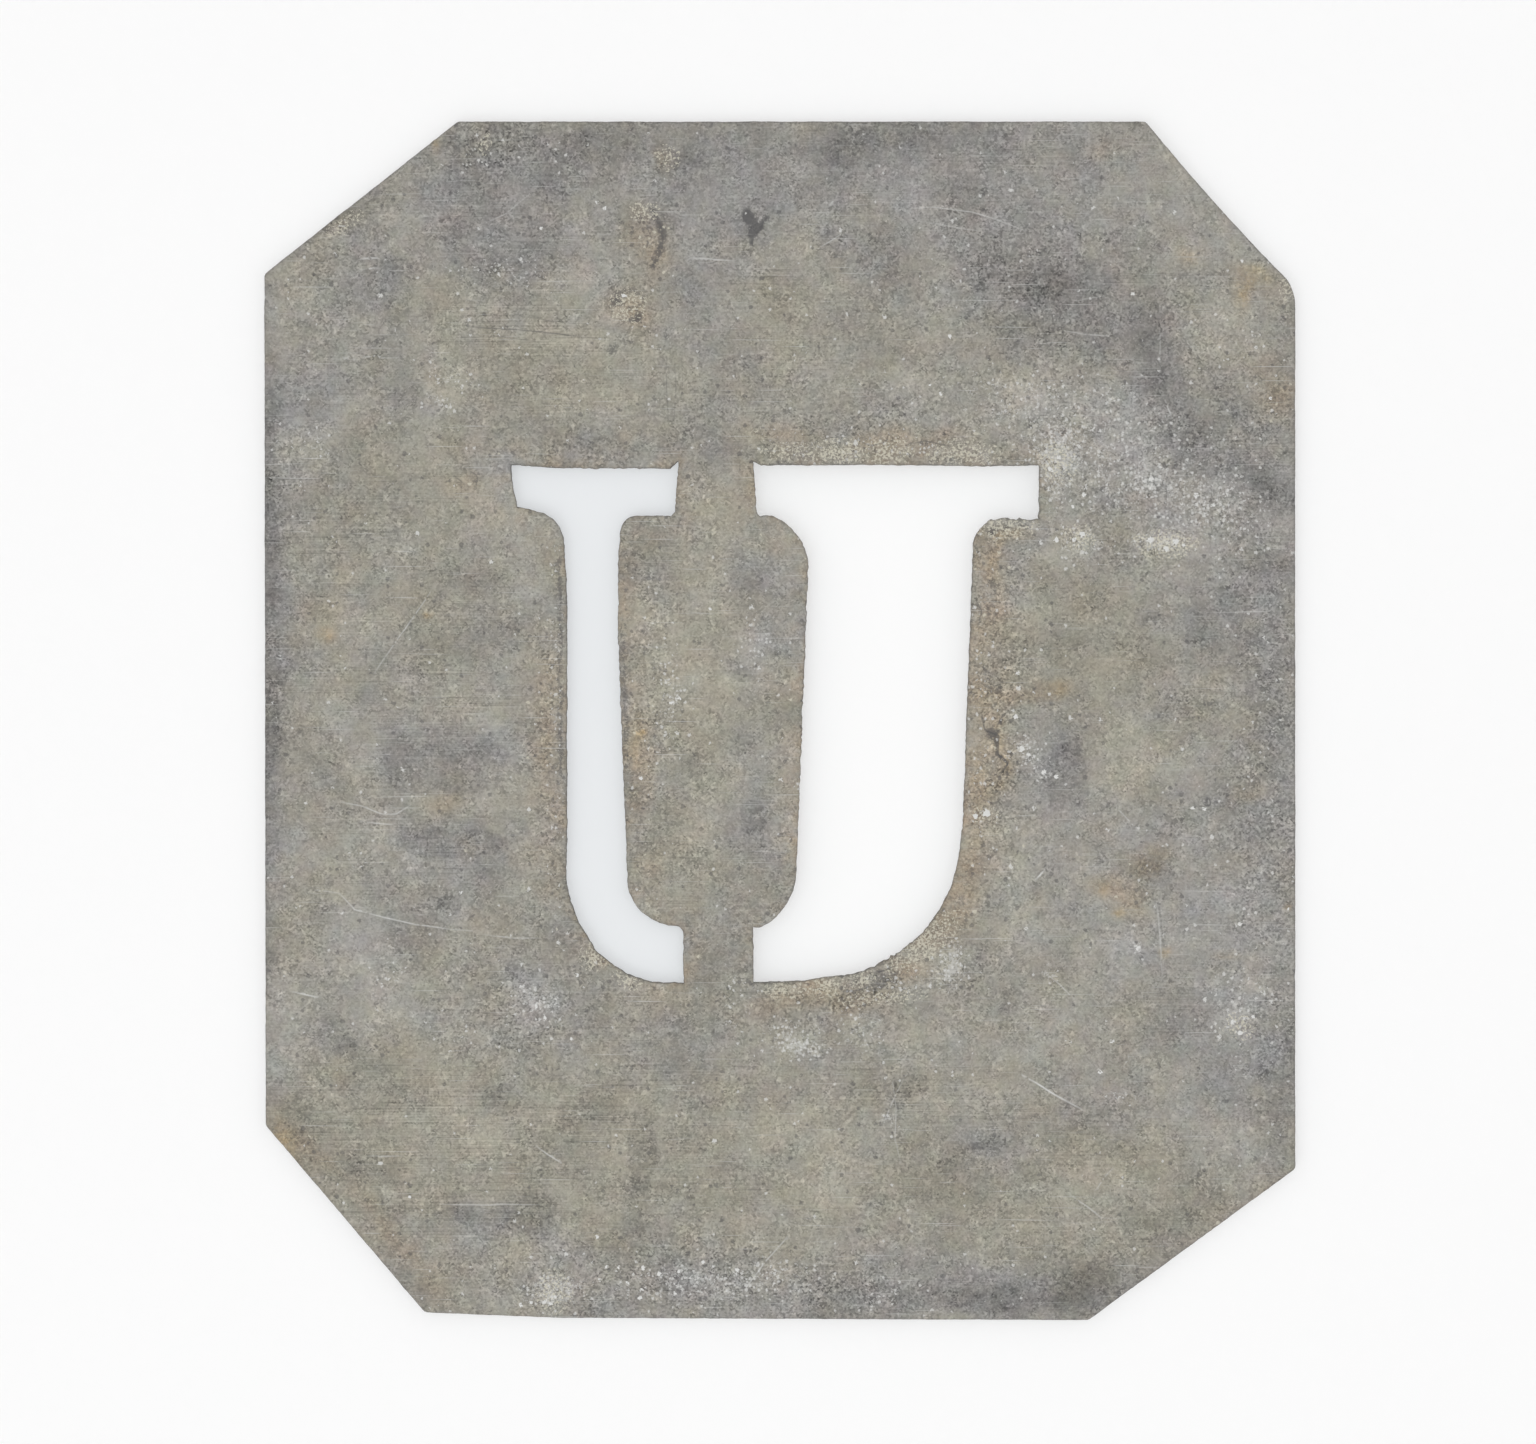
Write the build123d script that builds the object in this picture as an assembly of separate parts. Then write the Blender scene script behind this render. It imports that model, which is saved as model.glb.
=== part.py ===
from build123d import *
import os

# Lettering stencil: one plate of zinc sheet with a capital U cut through it by hand.
# The letter is two openings, a thin stroke on the left and a thick one on the right.
# Two ties, bridges of metal at the top and the bottom, carry the counter between them.
# Millimetres. +Z is up out of the face that is worked from and +Y is the top of the letter.
# The origin is the centre of the back face, which lies flat on the work.

# Sheet
sheet_width = 76.4
sheet_height = 88.8
sheet_thickness = 0.8
worn_edge = 0.12              # bevel worn along the outline, front and back
corner_radius = 0.4           # softening of the outline's corners
worn_corner_radius = 3.0      # the most worn corner, at the right end of the upper right cut

# Outline of the sheet: what is clipped off each corner, and how far the shears strayed
upper_left_cut_across = 14.35
upper_left_cut_down = 11.3
upper_right_cut_across = 11.1
upper_right_cut_down = 12.3
upper_right_cut_hollow = 0.22
lower_right_cut_across = 15.3
lower_right_cut_up = 11.2
lower_left_cut_across = 11.8
lower_left_cut_up = 14.4
left_edge_lean = 0.1          # the left edge leans in by this at its foot
bottom_edge_rise = 0.55       # the bottom edge climbs by this at its left end
bottom_edge_shares = ((0.88, 0.0), (0.2, 0.28))

# Letter: its place, its height and the ties
letter_height = 38.3
letter_drop = 0.2             # the letter's centre lies this far below the sheet's
top_tie_width = 5.55
top_tie_left_of_centre = 4.75
top_tie_flare = 0.25          # the top tie widens by this, on each side, at the serifs' feet
bottom_tie_width = 5.2
bottom_tie_left_of_centre = 4.56
bottom_tie_height = 4.05      # depth of the stroke where the bottom tie crosses it

# Thin stroke, the left opening
thin_stem = 3.8               # width under the serif
thin_stem_foot = 4.5          # width where the bowl begins
thin_serif_outer_depth = 3.45
thin_serif_inner_depth = 3.75
thin_serif_outer = 4.0        # reach of the serif past the stem, to the left
thin_serif_inner = 4.45       # reach to the tie
thin_serif_end_slant = 0.4    # the serif's end leans in by this at its foot
thin_serif_tilt = 0.35        # its underside climbs by this to that end
thin_outer_bracket_across = 2.1
thin_outer_bracket_down = 2.9
thin_inner_bracket_across = 1.7
thin_inner_bracket_down = 1.9
thin_bowl_height = 8.8
thin_bowl_inner_across = 3.0
thin_bowl_inner_height = 3.0

# Thick stroke, the right opening
thick_stem = 12.2
thick_stem_foot = 12.35       # width where the bowl begins
thick_stem_lean = 0.9         # the stem drifts this far left from its serif to its bowl
thick_serif_inner_depth = 3.75
thick_serif_outer_depth = 4.0
thick_serif_inner = 4.1
thick_serif_outer = 4.9
thick_outer_bracket_across = 1.3
thick_outer_bracket_down = 2.2
thick_inner_bracket_across = 2.7
thick_inner_bracket_down = 3.4
thick_bowl_height = 11.9
thick_bowl_inner_across = 2.7
thick_bowl_inner_height = 4.0

# Marks of the chisel
overcut = 0.3                 # where two cuts cross, the blade ran past the corner by this
overcut_width = 0.6
cut_stray = 0.25              # how far a straight cut wanders

# Rises of the arcs, as shares of their chords
wide_bracket_share = 0.13
round_bracket_share = 0.18
tight_bracket_share = 0.27
inner_bowl_share = 0.14

# Corners between the chisel's straight bites round each bowl, as shares of the bowl's
# width from the stem and of its height from the top
thin_bowl_shares = ((0.02, 0.2), (0.115, 0.5), (0.265, 0.715), (0.37, 0.815), (0.52, 0.915), (0.73, 0.98))
thick_bowl_shares = (
    (0.01, 0.13), (0.027, 0.27), (0.06, 0.42), (0.112, 0.542), (0.197, 0.694),
    (0.3, 0.81), (0.4, 0.89), (0.485, 0.938), (0.715, 0.979),
)

# Strays of the long cuts: share along the cut, and share of cut_stray to its left
thin_top_shares = ((0.3, -0.9), (1.0, -0.9))
thin_side_shares = ((0.28, -0.85),)
thick_top_shares = ((0.5, 0.1), (0.8, -0.3))

serif_top = letter_height / 2 - letter_drop
bowl_bottom = serif_top - letter_height
tie_top = bowl_bottom + bottom_tie_height


def corner(x, y):
    """A step of an outline that is reached by a straight cut."""
    return (x, y, 0)


def arc(x, y, rise_share):
    """A step reached by an arc. Its rise, to the right of the way there, is a share of its chord."""
    return (x, y, rise_share)


def straying(start, end, shares):
    """Steps between two places, moved to the left of the straight way by shares of cut_stray."""
    way = Vector(end) - Vector(start)
    left = Vector(-way.Y, way.X).normalized() * cut_stray
    places = [Vector(start) + way * along + left * stray for along, stray in shares]
    return [corner(place.X, place.Y) for place in places]


def facets(start, end, shares):
    """Corners of a bowl that is cut in straight bites, in the box between two places."""
    width = end[0] - start[0]
    height = end[1] - start[1]
    return [corner(start[0] + across * width, start[1] + down * height) for across, down in shares]


def edge_to(start, step):
    """The line or arc from one step of an outline to the next."""
    begin = Vector(start[0], start[1])
    end = Vector(step[0], step[1])
    if not step[2]:
        return Line(begin, end)
    chord = end - begin
    middle = begin + chord / 2 + Vector(chord.Y, -chord.X) * step[2]
    return ThreePointArc(begin, middle, end)


def closed_face(steps):
    """The flat face inside a closed run of steps."""
    edges = [edge_to(start, step) for start, step in zip(steps, steps[1:] + steps[:1])]
    return make_face(Wire(edges))


def sheet_face():
    """The clipped sheet. Each edge is one run of the shears."""
    left = -sheet_width / 2
    right = sheet_width / 2
    top = sheet_height / 2
    bottom = -sheet_height / 2
    foot_left = left + left_edge_lean + lower_left_cut_across
    foot_right = right - lower_right_cut_across
    foot_length = foot_right - foot_left
    foot = [
        corner(foot_left + along * foot_length, bottom + rise * bottom_edge_rise)
        for along, rise in bottom_edge_shares
    ]
    cut_length = Vector(upper_right_cut_across, upper_right_cut_down).length
    worn_corner = (right, top - upper_right_cut_down)
    corners = [
        (left + upper_left_cut_across, top),
        (right - upper_right_cut_across, top),
        (right, bottom + lower_right_cut_up),
        (foot_right, bottom),
        (foot_left, bottom + bottom_edge_rise),
        (left + left_edge_lean, bottom + lower_left_cut_up),
        (left, top - upper_left_cut_down),
    ]
    steps = [corner(x, y) for x, y in corners]
    outline = closed_face([
        *steps[:2],
        arc(*worn_corner, upper_right_cut_hollow / cut_length),
        *steps[2:4],
        *foot,
        *steps[4:],
    ])
    sharp = [outline.vertices().sort_by_distance(place)[0] for place in corners]
    softened = fillet(sharp, corner_radius)
    worn = softened.vertices().sort_by_distance(worn_corner)[0]
    return fillet(worn, worn_corner_radius)


def thin_stroke_face():
    """The left opening, clockwise from the outer end of its serif."""
    tie = -top_tie_left_of_centre - top_tie_width / 2
    bowl_end = -bottom_tie_left_of_centre - bottom_tie_width / 2
    stem_right = tie - thin_serif_inner
    stem_left = stem_right - thin_stem
    foot_right = stem_left + thin_stem_foot
    serif_left = stem_left - thin_serif_outer
    outer_underside = serif_top - thin_serif_outer_depth
    inner_underside = serif_top - thin_serif_inner_depth
    bowl_top = bowl_bottom + thin_bowl_height
    top_left = (serif_left, serif_top)
    top_right = (tie - overcut_width, serif_top)
    bracket_foot = (stem_right, inner_underside - thin_inner_bracket_down)
    bowl_inner_top = (foot_right, tie_top + thin_bowl_inner_height)
    bowl_start = (stem_left, bowl_top)
    return closed_face([
        corner(*top_left),
        *straying(top_left, top_right, thin_top_shares),
        corner(tie, serif_top + overcut),
        corner(tie - top_tie_flare, inner_underside + overcut),
        corner(tie - top_tie_flare - overcut, inner_underside),
        corner(stem_right + thin_inner_bracket_across, inner_underside),
        arc(*bracket_foot, tight_bracket_share),
        *straying(bracket_foot, bowl_inner_top, thin_side_shares),
        corner(*bowl_inner_top),
        arc(foot_right + thin_bowl_inner_across, tie_top, inner_bowl_share),
        corner(bowl_end - overcut, tie_top),
        corner(bowl_end, tie_top - overcut),
        corner(bowl_end, bowl_bottom),
        *reversed(facets(bowl_start, (bowl_end, bowl_bottom), thin_bowl_shares)),
        corner(*bowl_start),
        corner(stem_left, outer_underside - thin_outer_bracket_down),
        arc(stem_left - thin_outer_bracket_across, outer_underside, round_bracket_share),
        corner(serif_left + thin_serif_end_slant, outer_underside + thin_serif_tilt),
    ])


def thick_stroke_face():
    """The right opening, clockwise from the tie's end of its serif."""
    tie = -top_tie_left_of_centre + top_tie_width / 2
    bowl_end = -bottom_tie_left_of_centre + bottom_tie_width / 2
    stem_left = tie + thick_serif_inner
    stem_right = stem_left + thick_stem
    serif_right = stem_right + thick_serif_outer
    foot_left = stem_left - thick_stem_lean
    foot_right = foot_left + thick_stem_foot
    inner_underside = serif_top - thick_serif_inner_depth
    outer_underside = serif_top - thick_serif_outer_depth
    bowl_top = bowl_bottom + thick_bowl_height
    top_left = (tie + overcut_width, serif_top)
    top_right = (serif_right, serif_top)
    bowl_start = (foot_right, bowl_top)
    return closed_face([
        corner(tie, serif_top + overcut),
        corner(*top_left),
        *straying(top_left, top_right, thick_top_shares),
        corner(*top_right),
        corner(serif_right, outer_underside),
        corner(stem_right + thick_outer_bracket_across, outer_underside),
        arc(stem_right, outer_underside - thick_outer_bracket_down, round_bracket_share),
        corner(*bowl_start),
        *facets(bowl_start, (bowl_end, bowl_bottom), thick_bowl_shares),
        corner(bowl_end, bowl_bottom),
        corner(bowl_end, tie_top),
        corner(foot_left - thick_bowl_inner_across, tie_top),
        arc(foot_left, tie_top + thick_bowl_inner_height, inner_bowl_share),
        corner(stem_left, inner_underside - thick_inner_bracket_down),
        arc(stem_left - thick_inner_bracket_across, inner_underside, wide_bracket_share),
        corner(tie + top_tie_flare + overcut, inner_underside),
        corner(tie + top_tie_flare, inner_underside + overcut),
    ])


def stencil_plate():
    """The sheet, worn along its outline, with both strokes cut through it."""
    sheet = extrude(sheet_face(), sheet_thickness)
    rims = sheet.faces().filter_by(Axis.Z).edges()
    worn_sheet = chamfer(rims, worn_edge)
    thin_stroke = extrude(thin_stroke_face(), sheet_thickness)
    thick_stroke = extrude(thick_stroke_face(), sheet_thickness)
    return worn_sheet - thin_stroke - thick_stroke


os.makedirs("parts", exist_ok=True)
export_step(stencil_plate(), "parts/stencil_plate.step")
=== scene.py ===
"""Looks of the lettering stencil: one sheet of old zinc on a white table, seen from straight above."""

import math

import bpy
import numpy as np
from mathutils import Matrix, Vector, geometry, kdtree, noise


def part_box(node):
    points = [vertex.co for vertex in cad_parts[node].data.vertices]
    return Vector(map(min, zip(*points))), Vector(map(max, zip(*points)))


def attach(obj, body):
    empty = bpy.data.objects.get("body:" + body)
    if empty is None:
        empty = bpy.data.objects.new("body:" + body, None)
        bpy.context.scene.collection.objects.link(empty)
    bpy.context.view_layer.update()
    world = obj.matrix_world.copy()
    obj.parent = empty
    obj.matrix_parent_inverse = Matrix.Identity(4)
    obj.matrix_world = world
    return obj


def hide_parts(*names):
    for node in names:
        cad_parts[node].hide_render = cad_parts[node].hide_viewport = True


MM = 0.001

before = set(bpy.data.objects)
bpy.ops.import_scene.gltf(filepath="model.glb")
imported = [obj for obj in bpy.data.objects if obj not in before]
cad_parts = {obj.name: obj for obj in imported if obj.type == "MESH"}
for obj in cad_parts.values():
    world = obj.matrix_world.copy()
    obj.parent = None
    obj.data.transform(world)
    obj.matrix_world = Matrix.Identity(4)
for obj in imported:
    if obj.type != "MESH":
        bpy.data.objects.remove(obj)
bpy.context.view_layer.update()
low_corner, high_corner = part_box("stencil_plate")

# Sheet, in millimetres, from the frame
THICKNESS = (high_corner.z - low_corner.z) / MM
SHEET_WIDTH = (high_corner.x - low_corner.x) / MM
SHEET_HEIGHT = (high_corner.y - low_corner.y) / MM

# How the photograph's pixels lie on the sheet's face
PIXELS_PER_MM = 13.5
CENTRE_PIXEL = np.array((779.8, 720.7))
PICTURE_SIZE = np.array((1536, 1444))
Y_TURNED = np.array((1, -1))

# How stains fade out, how square the films are, and how far apart the noises of two seeds lie
FADE_POWER = 1.2
FILM_POWER = 2.4
SEED_SHIFTS = (17.3, 9.1, 3.7)

# Relief of the worn face, edges and back, in millimetres, with shares of a crumb's size and height
FACE_BELOW_TOP = 0.034
FACE_WAVE = 0.012
FACE_GRAIN = 0.006
CRUST_LIFT = 0.01
BACK_RISE = 0.014
BACK_ROUNDING = 0.09
OUTLINE_ROUNDING = 0.13
CUT_ROUNDING = 0.07
BURR_HEIGHT = 0.02
BURR_PLACE = 0.12
BURR_WIDTH = 0.1
PIT_DEPTH = 0.015
SCRATCH_DEPTH = 0.018
SCRATCH_WIDTH = 0.085
SCRATCH_WANDER = 0.04
SCRATCH_TAPER = 0.25
SCRATCH_FULLNESS = 0.6
CRUMB_HEIGHT = 0.021
CRUMB_SHARE = 0.82
CRUMB_SIDES = 6
CRUMB_RINGS = ((0.62, 0.85), (1.15, 0))
CRUMB_WOBBLE = (0.7, 1.2)
WALL_ROUGHNESS = 0.012
WALL_HOLLOW = 0.01
BUMP_HEIGHT = 0.016

# How far shears and chisel wander and how ragged they cut, in millimetres
SHEARS = (0.02, 0.016)
CHISEL = (0.03, 0.045)
WANDER_CELL = 1.6
RAGGED_CELL = 0.45
BITE_CELL = 0.8
BITE_LEVEL = 0.42
BITE_GAIN = 4

# Mesh: steps, depths and gaps in millimetres, with shares of them
EDGE_STEP = 0.21
EDGE_FILLING = 0.05
RING_DEPTHS = (0.035, 0.08, 0.15, 0.27, 0.43)
BACK_RING_DEPTHS = (0.06, 0.16, 0.4)
RING_KEPT_SHARE = 0.86
FACE_STEP = 0.37
BACK_STEP = 0.8
MARK_STEP = 0.28
MARKS_CLEAR = RING_DEPTHS[-1] + 0.05
COMB_CLEAR = RING_DEPTHS[-1] + 0.12
BACK_COMB_CLEAR = 0.7
COMB_CLEAR_OF_MARKS = 0.13
COMB_ROW_SHARE = 0.866
COMB_SHAKE_SHARE = 0.22
WALL_SHARES = (0.0, 0.16, 0.36, 0.56, 0.76, 0.9, 1.0)
WALL_LEVELS = len(WALL_SHARES) - 1
SHARP_TURN = math.radians(14)
WALL_LEAN = 0.01
LEVEL_GAP = 0.001

# Layout of the baked picture, as shares of its side
BAKE_PIXELS = 1024
FACE_BAKE_SCALE = 9.4 / BAKE_PIXELS
BACK_BAKE_SCALE = 3.7 / BAKE_PIXELS
BAKE_LEFT = 0.006
BAKE_RIGHT = 0.994
BAKE_TOP = 0.99
STRIPS_BOTTOM = 0.02
STRIPS_LEFT = 0.01
STRIP_LENGTH = 0.97
STRIP_PITCH = 0.045
STRIP_ROW = 0.0055

# Marks, in the photograph's pixels: x, y, reach across, reach down, turn, strength
SHADE_STAINS = {
    "upper_left_patch": (500, 210, 60, 60, 10, 0.12),
    "film_stem_right": (1066, 771, 26, 40, 0, 0.12),
    "film_left": (450, 780, 70, 60, 0, 0.12),
    "film_left_low": (455, 845, 60, 24, 0, 0.25),
    "left_strip": (268, 640, 16, 330, 0, -0.9),
    "top_band": (760, 140, 330, 22, 0, -0.55),
    "top_notch": (840, 152, 24, 20, 0, -0.5),
    "above_tie": (700, 290, 50, 130, 0, -0.1),
    "pale_top_tie": (718, 496, 26, 30, 0, 0.3),
    "above_thin_serif": (610, 440, 90, 16, 0, -0.27),
    "upper_right_field": (985, 290, 60, 56, 0, -0.4),
    "right_shoulder_dark": (1182, 405, 24, 50, -30, -0.28),
    "right_vein_end": (1262, 492, 30, 22, 20, -0.5),
    "right_strip": (1278, 720, 26, 170, 0, -0.35),
    "right_slate": (1205, 630, 50, 60, 0, -0.3),
    "stem_right_slate": (1060, 774, 22, 34, 0, -0.1),
    "counter_upper": (752, 600, 26, 40, 0, -0.2),
    "counter_middle": (742, 748, 22, 18, 0, -0.2),
    "left_middle_band": (455, 758, 70, 26, 2, -0.1),
    "left_middle_spot": (392, 785, 24, 22, 0, -0.25),
    "left_small": (500, 632, 18, 16, 0, -0.25),
    "left_foot_dots": (465, 1010, 26, 18, 0, -0.4),
    "left_foot_dot": (498, 1088, 20, 16, 0, -0.4),
    "under_bowl_diagonal": (600, 1095, 60, 16, -38, -0.4),
    "under_bowl_column": (642, 1150, 20, 55, 0, -0.15),
    "low_left_band": (500, 1224, 80, 18, 6, -0.15),
    "low_left_edge": (300, 1120, 22, 40, -25, -0.35),
    "bottom_dark": (985, 1300, 125, 16, 0, -0.85),
    "bottom_middle": (640, 1284, 90, 22, 0, -0.3),
    "bottom_dark_left": (870, 1272, 50, 30, 0, -0.4),
    "bottom_corner": (1100, 1280, 40, 26, 0, -0.8),
    "bottom_right_cut": (1190, 1215, 60, 22, -38, -0.5),
    "right_foot": (1278, 1120, 18, 50, 0, -0.6),
    "low_middle_spot": (910, 1082, 30, 20, 0, -0.25),
    "low_right_spot": (990, 1146, 30, 18, 0, -0.1),
    "low_right_spot_two": (955, 1192, 30, 16, 0, -0.15),
    "bottom_tie": (718, 960, 22, 22, 0, -0.1),
    "stem_right_dark": (985, 685, 16, 24, 0, -0.3),
    "bowl_foot_dark": (850, 1000, 40, 13, 0, -0.6),
    "right_brown_dark": (1142, 856, 24, 15, -25, -0.5),
    "fleck": (752, 222, 12, 14, 20, -0.2),
    "pale_shoulder": (446, 392, 24, 26, 10, 0.5),
    "pale_shoulder_left": (318, 440, 26, 22, 0, 0.4),
    "pale_left_run": (372, 960, 26, 70, -24, 0.8),
    "pale_bowl_left": (545, 1004, 30, 20, 20, 0.4),
    "bloom_field": (1105, 450, 105, 60, 25, 0.5),
    "bloom_field_low": (1200, 520, 50, 40, 30, 0.3),
    "bloom_tail": (1020, 400, 34, 24, 20, 0.5),
    "bloom_crumbs": (1160, 543, 24, 9, -5, 0.4),
    "bloom_crumbs_two": (1078, 546, 28, 16, 0, 0.3),
    "pale_right_shoulder": (1236, 330, 40, 34, 30, 0.35),
    "pale_top_right": (1080, 222, 40, 24, 0, 0.35),
    "pale_above_letter": (890, 376, 40, 16, 0, 0.4),
    "pale_under_bowl": (792, 1044, 40, 20, 0, 0.3),
    "pale_right_foot": (1240, 1005, 30, 44, 0, 0.6),
    "pale_right_middle": (1205, 862, 34, 34, 0, 0.35),
    "pale_counter": (762, 660, 14, 30, 0, 0.5),
    "pale_right_olive": (1120, 740, 26, 44, 0, 0.45),
    "pale_low_middle": (830, 1120, 60, 40, 0, 0.35),
    "pale_low_left": (470, 1150, 70, 30, 0, 0.25),
    "pale_right_of_bowl": (1010, 900, 18, 60, 10, 0.4),
    "pale_left_edge": (310, 720, 14, 60, 0, 0.2),
    "pale_counter_all": (720, 720, 46, 210, 0, 0.27),
    "pale_stem_right": (1040, 890, 30, 90, 0, 0.3),
    "pale_stem_top": (1000, 600, 34, 60, 0, 0.35),
    "pale_thin_right": (645, 740, 16, 70, 0, 0.15),
    "pale_right_low": (1160, 910, 80, 60, 0, 0.25),
    "pale_top_middle": (655, 165, 45, 26, 0, 0.3),
    "pale_left_foot": (290, 1005, 24, 40, 0, 0.25),
    "pale_right_corner": (1284, 296, 12, 14, 0, 0.5),
    "left_edge_top": (272, 430, 20, 70, 0, -0.35),
    "letter_above_dark": (975, 350, 50, 36, 0, -0.2),
    "letter_above_right": (962, 442, 46, 15, 0, -0.25),
    "vein_low": (1195, 445, 36, 26, 30, -0.25),
    "low_left_all": (470, 1160, 110, 90, 0, -0.15),
}
COOL_STAINS = {
    "upper_left": (490, 222, 80, 50, 15, 0.9),
    "shoulder": (378, 290, 42, 44, 0, 0.7),
    "left_strip": (268, 640, 22, 330, 0, 0.9),
    "left_shoulder": (300, 420, 40, 60, 0, 0.5),
    "top": (760, 160, 320, 50, 0, 0.7),
    "top_middle": (735, 260, 70, 110, 0, 0.45),
    "top_right": (1010, 230, 150, 90, 10, 0.7),
    "bloom": (1120, 450, 120, 60, 25, 0.55),
    "right_upper": (1240, 560, 60, 90, 0, 0.5),
    "right_side": (1200, 920, 100, 160, 0, 0.55),
    "right_strip": (1276, 760, 26, 190, 0, 0.6),
    "right_slate": (1195, 622, 44, 44, 0, 0.5),
    "right_foot": (1236, 1085, 60, 80, 0, 0.6),
    "stem_right": (1066, 776, 40, 46, 0, 0.8),
    "counter_top": (752, 605, 34, 60, 0, 0.45),
    "counter_middle": (745, 752, 26, 20, 0, 0.35),
    "counter_low": (756, 830, 34, 30, 0, 0.8),
    "left_middle": (450, 750, 95, 34, 0, 0.6),
    "left_low": (440, 842, 90, 28, 0, 0.5),
    "left_small": (500, 632, 26, 24, 0, 0.5),
    "left_foot": (430, 912, 40, 26, 0, 0.6),
    "left_foot_corner": (330, 1035, 44, 30, 0, 0.6),
    "left_pale_run": (372, 960, 26, 66, -24, 0.5),
    "bowl_left": (540, 1010, 40, 34, 20, 0.7),
    "under_bowl": (650, 1050, 60, 40, 0, 0.35),
    "low_left_band": (500, 1228, 90, 24, 6, 0.6),
    "bottom": (760, 1285, 200, 36, 0, 0.8),
    "bottom_right": (990, 1300, 130, 24, 0, 1.0),
    "low_right": (990, 1148, 46, 26, 0, 0.5),
    "low_right_two": (1095, 1105, 60, 32, 20, 0.5),
    "thin_serif_left": (480, 470, 40, 24, 0, 0.3),
}
OLIVE_STAINS = {
    "upper_field": (560, 365, 80, 46, 0, 0.8),
    "upper_shoulder": (430, 300, 44, 26, -10, 0.5),
    "upper_middle": (780, 312, 36, 56, 0, 0.8),
    "left": (405, 480, 50, 44, 0, 0.5),
    "left_centre": (430, 600, 70, 50, 0, 0.4),
    "right_field": (1070, 640, 70, 46, 0, 0.9),
    "right_column": (1120, 745, 40, 60, 0, 0.8),
    "lower_field": (640, 1160, 420, 90, 0, 0.6),
    "lower_left": (340, 1120, 90, 90, 0, 0.5),
    "lower_right": (1130, 1180, 120, 60, -30, 0.6),
    "counter": (690, 720, 46, 170, 0, 0.7),
}
BROWN_STAINS = {
    "top_streak": (640, 232, 18, 34, 5, 0.5),
    "top_streak_foot": (648, 262, 9, 22, 0, 0.4),
    "top_rough": (668, 156, 10, 10, 0, 0.6),
    "ring_spot": (628, 310, 20, 17, 0, 0.75),
    "left_cluster": (462, 478, 18, 12, 0, 0.5),
    "above_letter_left": (775, 437, 34, 12, 0, 0.6),
    "above_letter": (880, 440, 50, 14, 0, 0.6),
    "above_letter_right": (940, 432, 30, 10, 0, 0.4),
    "right_shoulder": (1268, 386, 20, 26, 0, 0.7),
    "stem_right_top": (990, 588, 20, 56, 0, 0.65),
    "stem_right_middle": (988, 692, 24, 24, 0, 0.75),
    "stem_right_spread": (1030, 692, 36, 10, 0, 0.6),
    "stem_right_foot": (984, 780, 24, 62, 4, 0.7),
    "bowl_right": (958, 900, 16, 46, 30, 0.75),
    "bowl_foot": (912, 975, 28, 16, -16, 0.8),
    "bowl_foot_left": (842, 1000, 54, 14, 0, 0.7),
    "tie_foot": (770, 1002, 26, 10, 0, 0.4),
    "right_patch": (1142, 858, 22, 16, -25, 0.8),
    "right_patch_foot": (1128, 900, 18, 18, 0, 0.7),
    "right_patch_ring": (1105, 885, 12, 14, 0, 0.5),
    "left_spot": (450, 800, 20, 12, 0, 0.5),
    "left_spot_low": (468, 846, 26, 12, 0, 0.3),
    "thin_left": (546, 730, 13, 90, 0, 0.6),
    "thin_left_low": (548, 870, 16, 40, -10, 0.4),
    "thin_right": (639, 745, 12, 74, 0, 0.55),
    "thin_right_low": (655, 860, 14, 30, 0, 0.35),
    "left_edge_faint": (318, 606, 24, 16, 0, 0.25),
    "low_left_cut": (300, 1140, 14, 44, -40, 0.5),
    "low_left_cut_foot": (392, 1240, 13, 80, -40, 0.55),
    "low_right_cut": (1230, 1212, 60, 9, -36, 0.3),
    "stain_dot": (344, 1077, 10, 9, 0, 0.4),
    "right_top": (1110, 150, 30, 12, 0, 0.3),
    "far_right": (1240, 790, 12, 10, 0, 0.35),
}
RUST_STAINS = {
    "corner": (1243, 290, 10, 18, 10, 0.55),
    "corner_spread": (1258, 274, 18, 9, 20, 0.4),
    "corner_left": (1192, 258, 13, 10, 20, 0.35),
    "orange_dot": (1057, 688, 13, 10, 0, 0.5),
    "thin_dot": (642, 733, 4.5, 4.5, 0, 1.3),
    "thin_run": (636, 745, 4, 34, 0, 0.25),
    "ochre_blot": (326, 632, 9, 9, 0, 0.5),
    "red_speck": (428, 615, 3, 3, 0, 0.8),
    "stem_right": (996, 552, 6, 26, 15, 0.4),
    "stem_right_middle": (978, 650, 7, 60, 0, 0.1),
    "stem_right_low": (980, 790, 8, 60, 4, 0.15),
    "under_serif": (1012, 534, 26, 6, 0, 0.3),
    "low_left_corner": (284, 1138, 10, 26, -30, 0.6),
    "top_left_cut": (330, 205, 10, 8, -38, 0.8),
    "top_left_dot": (436, 144, 5, 9, 0, 0.5),
    "right_dot": (1119, 914, 5, 4, 0, 0.8),
    "right_dot_low": (1165, 953, 6, 5, 0, 0.6),
    "right_dot_far": (1288, 907, 5, 4, 0, 0.6),
    "right_dot_run": (1225, 955, 14, 4, 0, 0.35),
    "red_right": (1103, 890, 7, 7, 0, 0.4),
}
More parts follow.
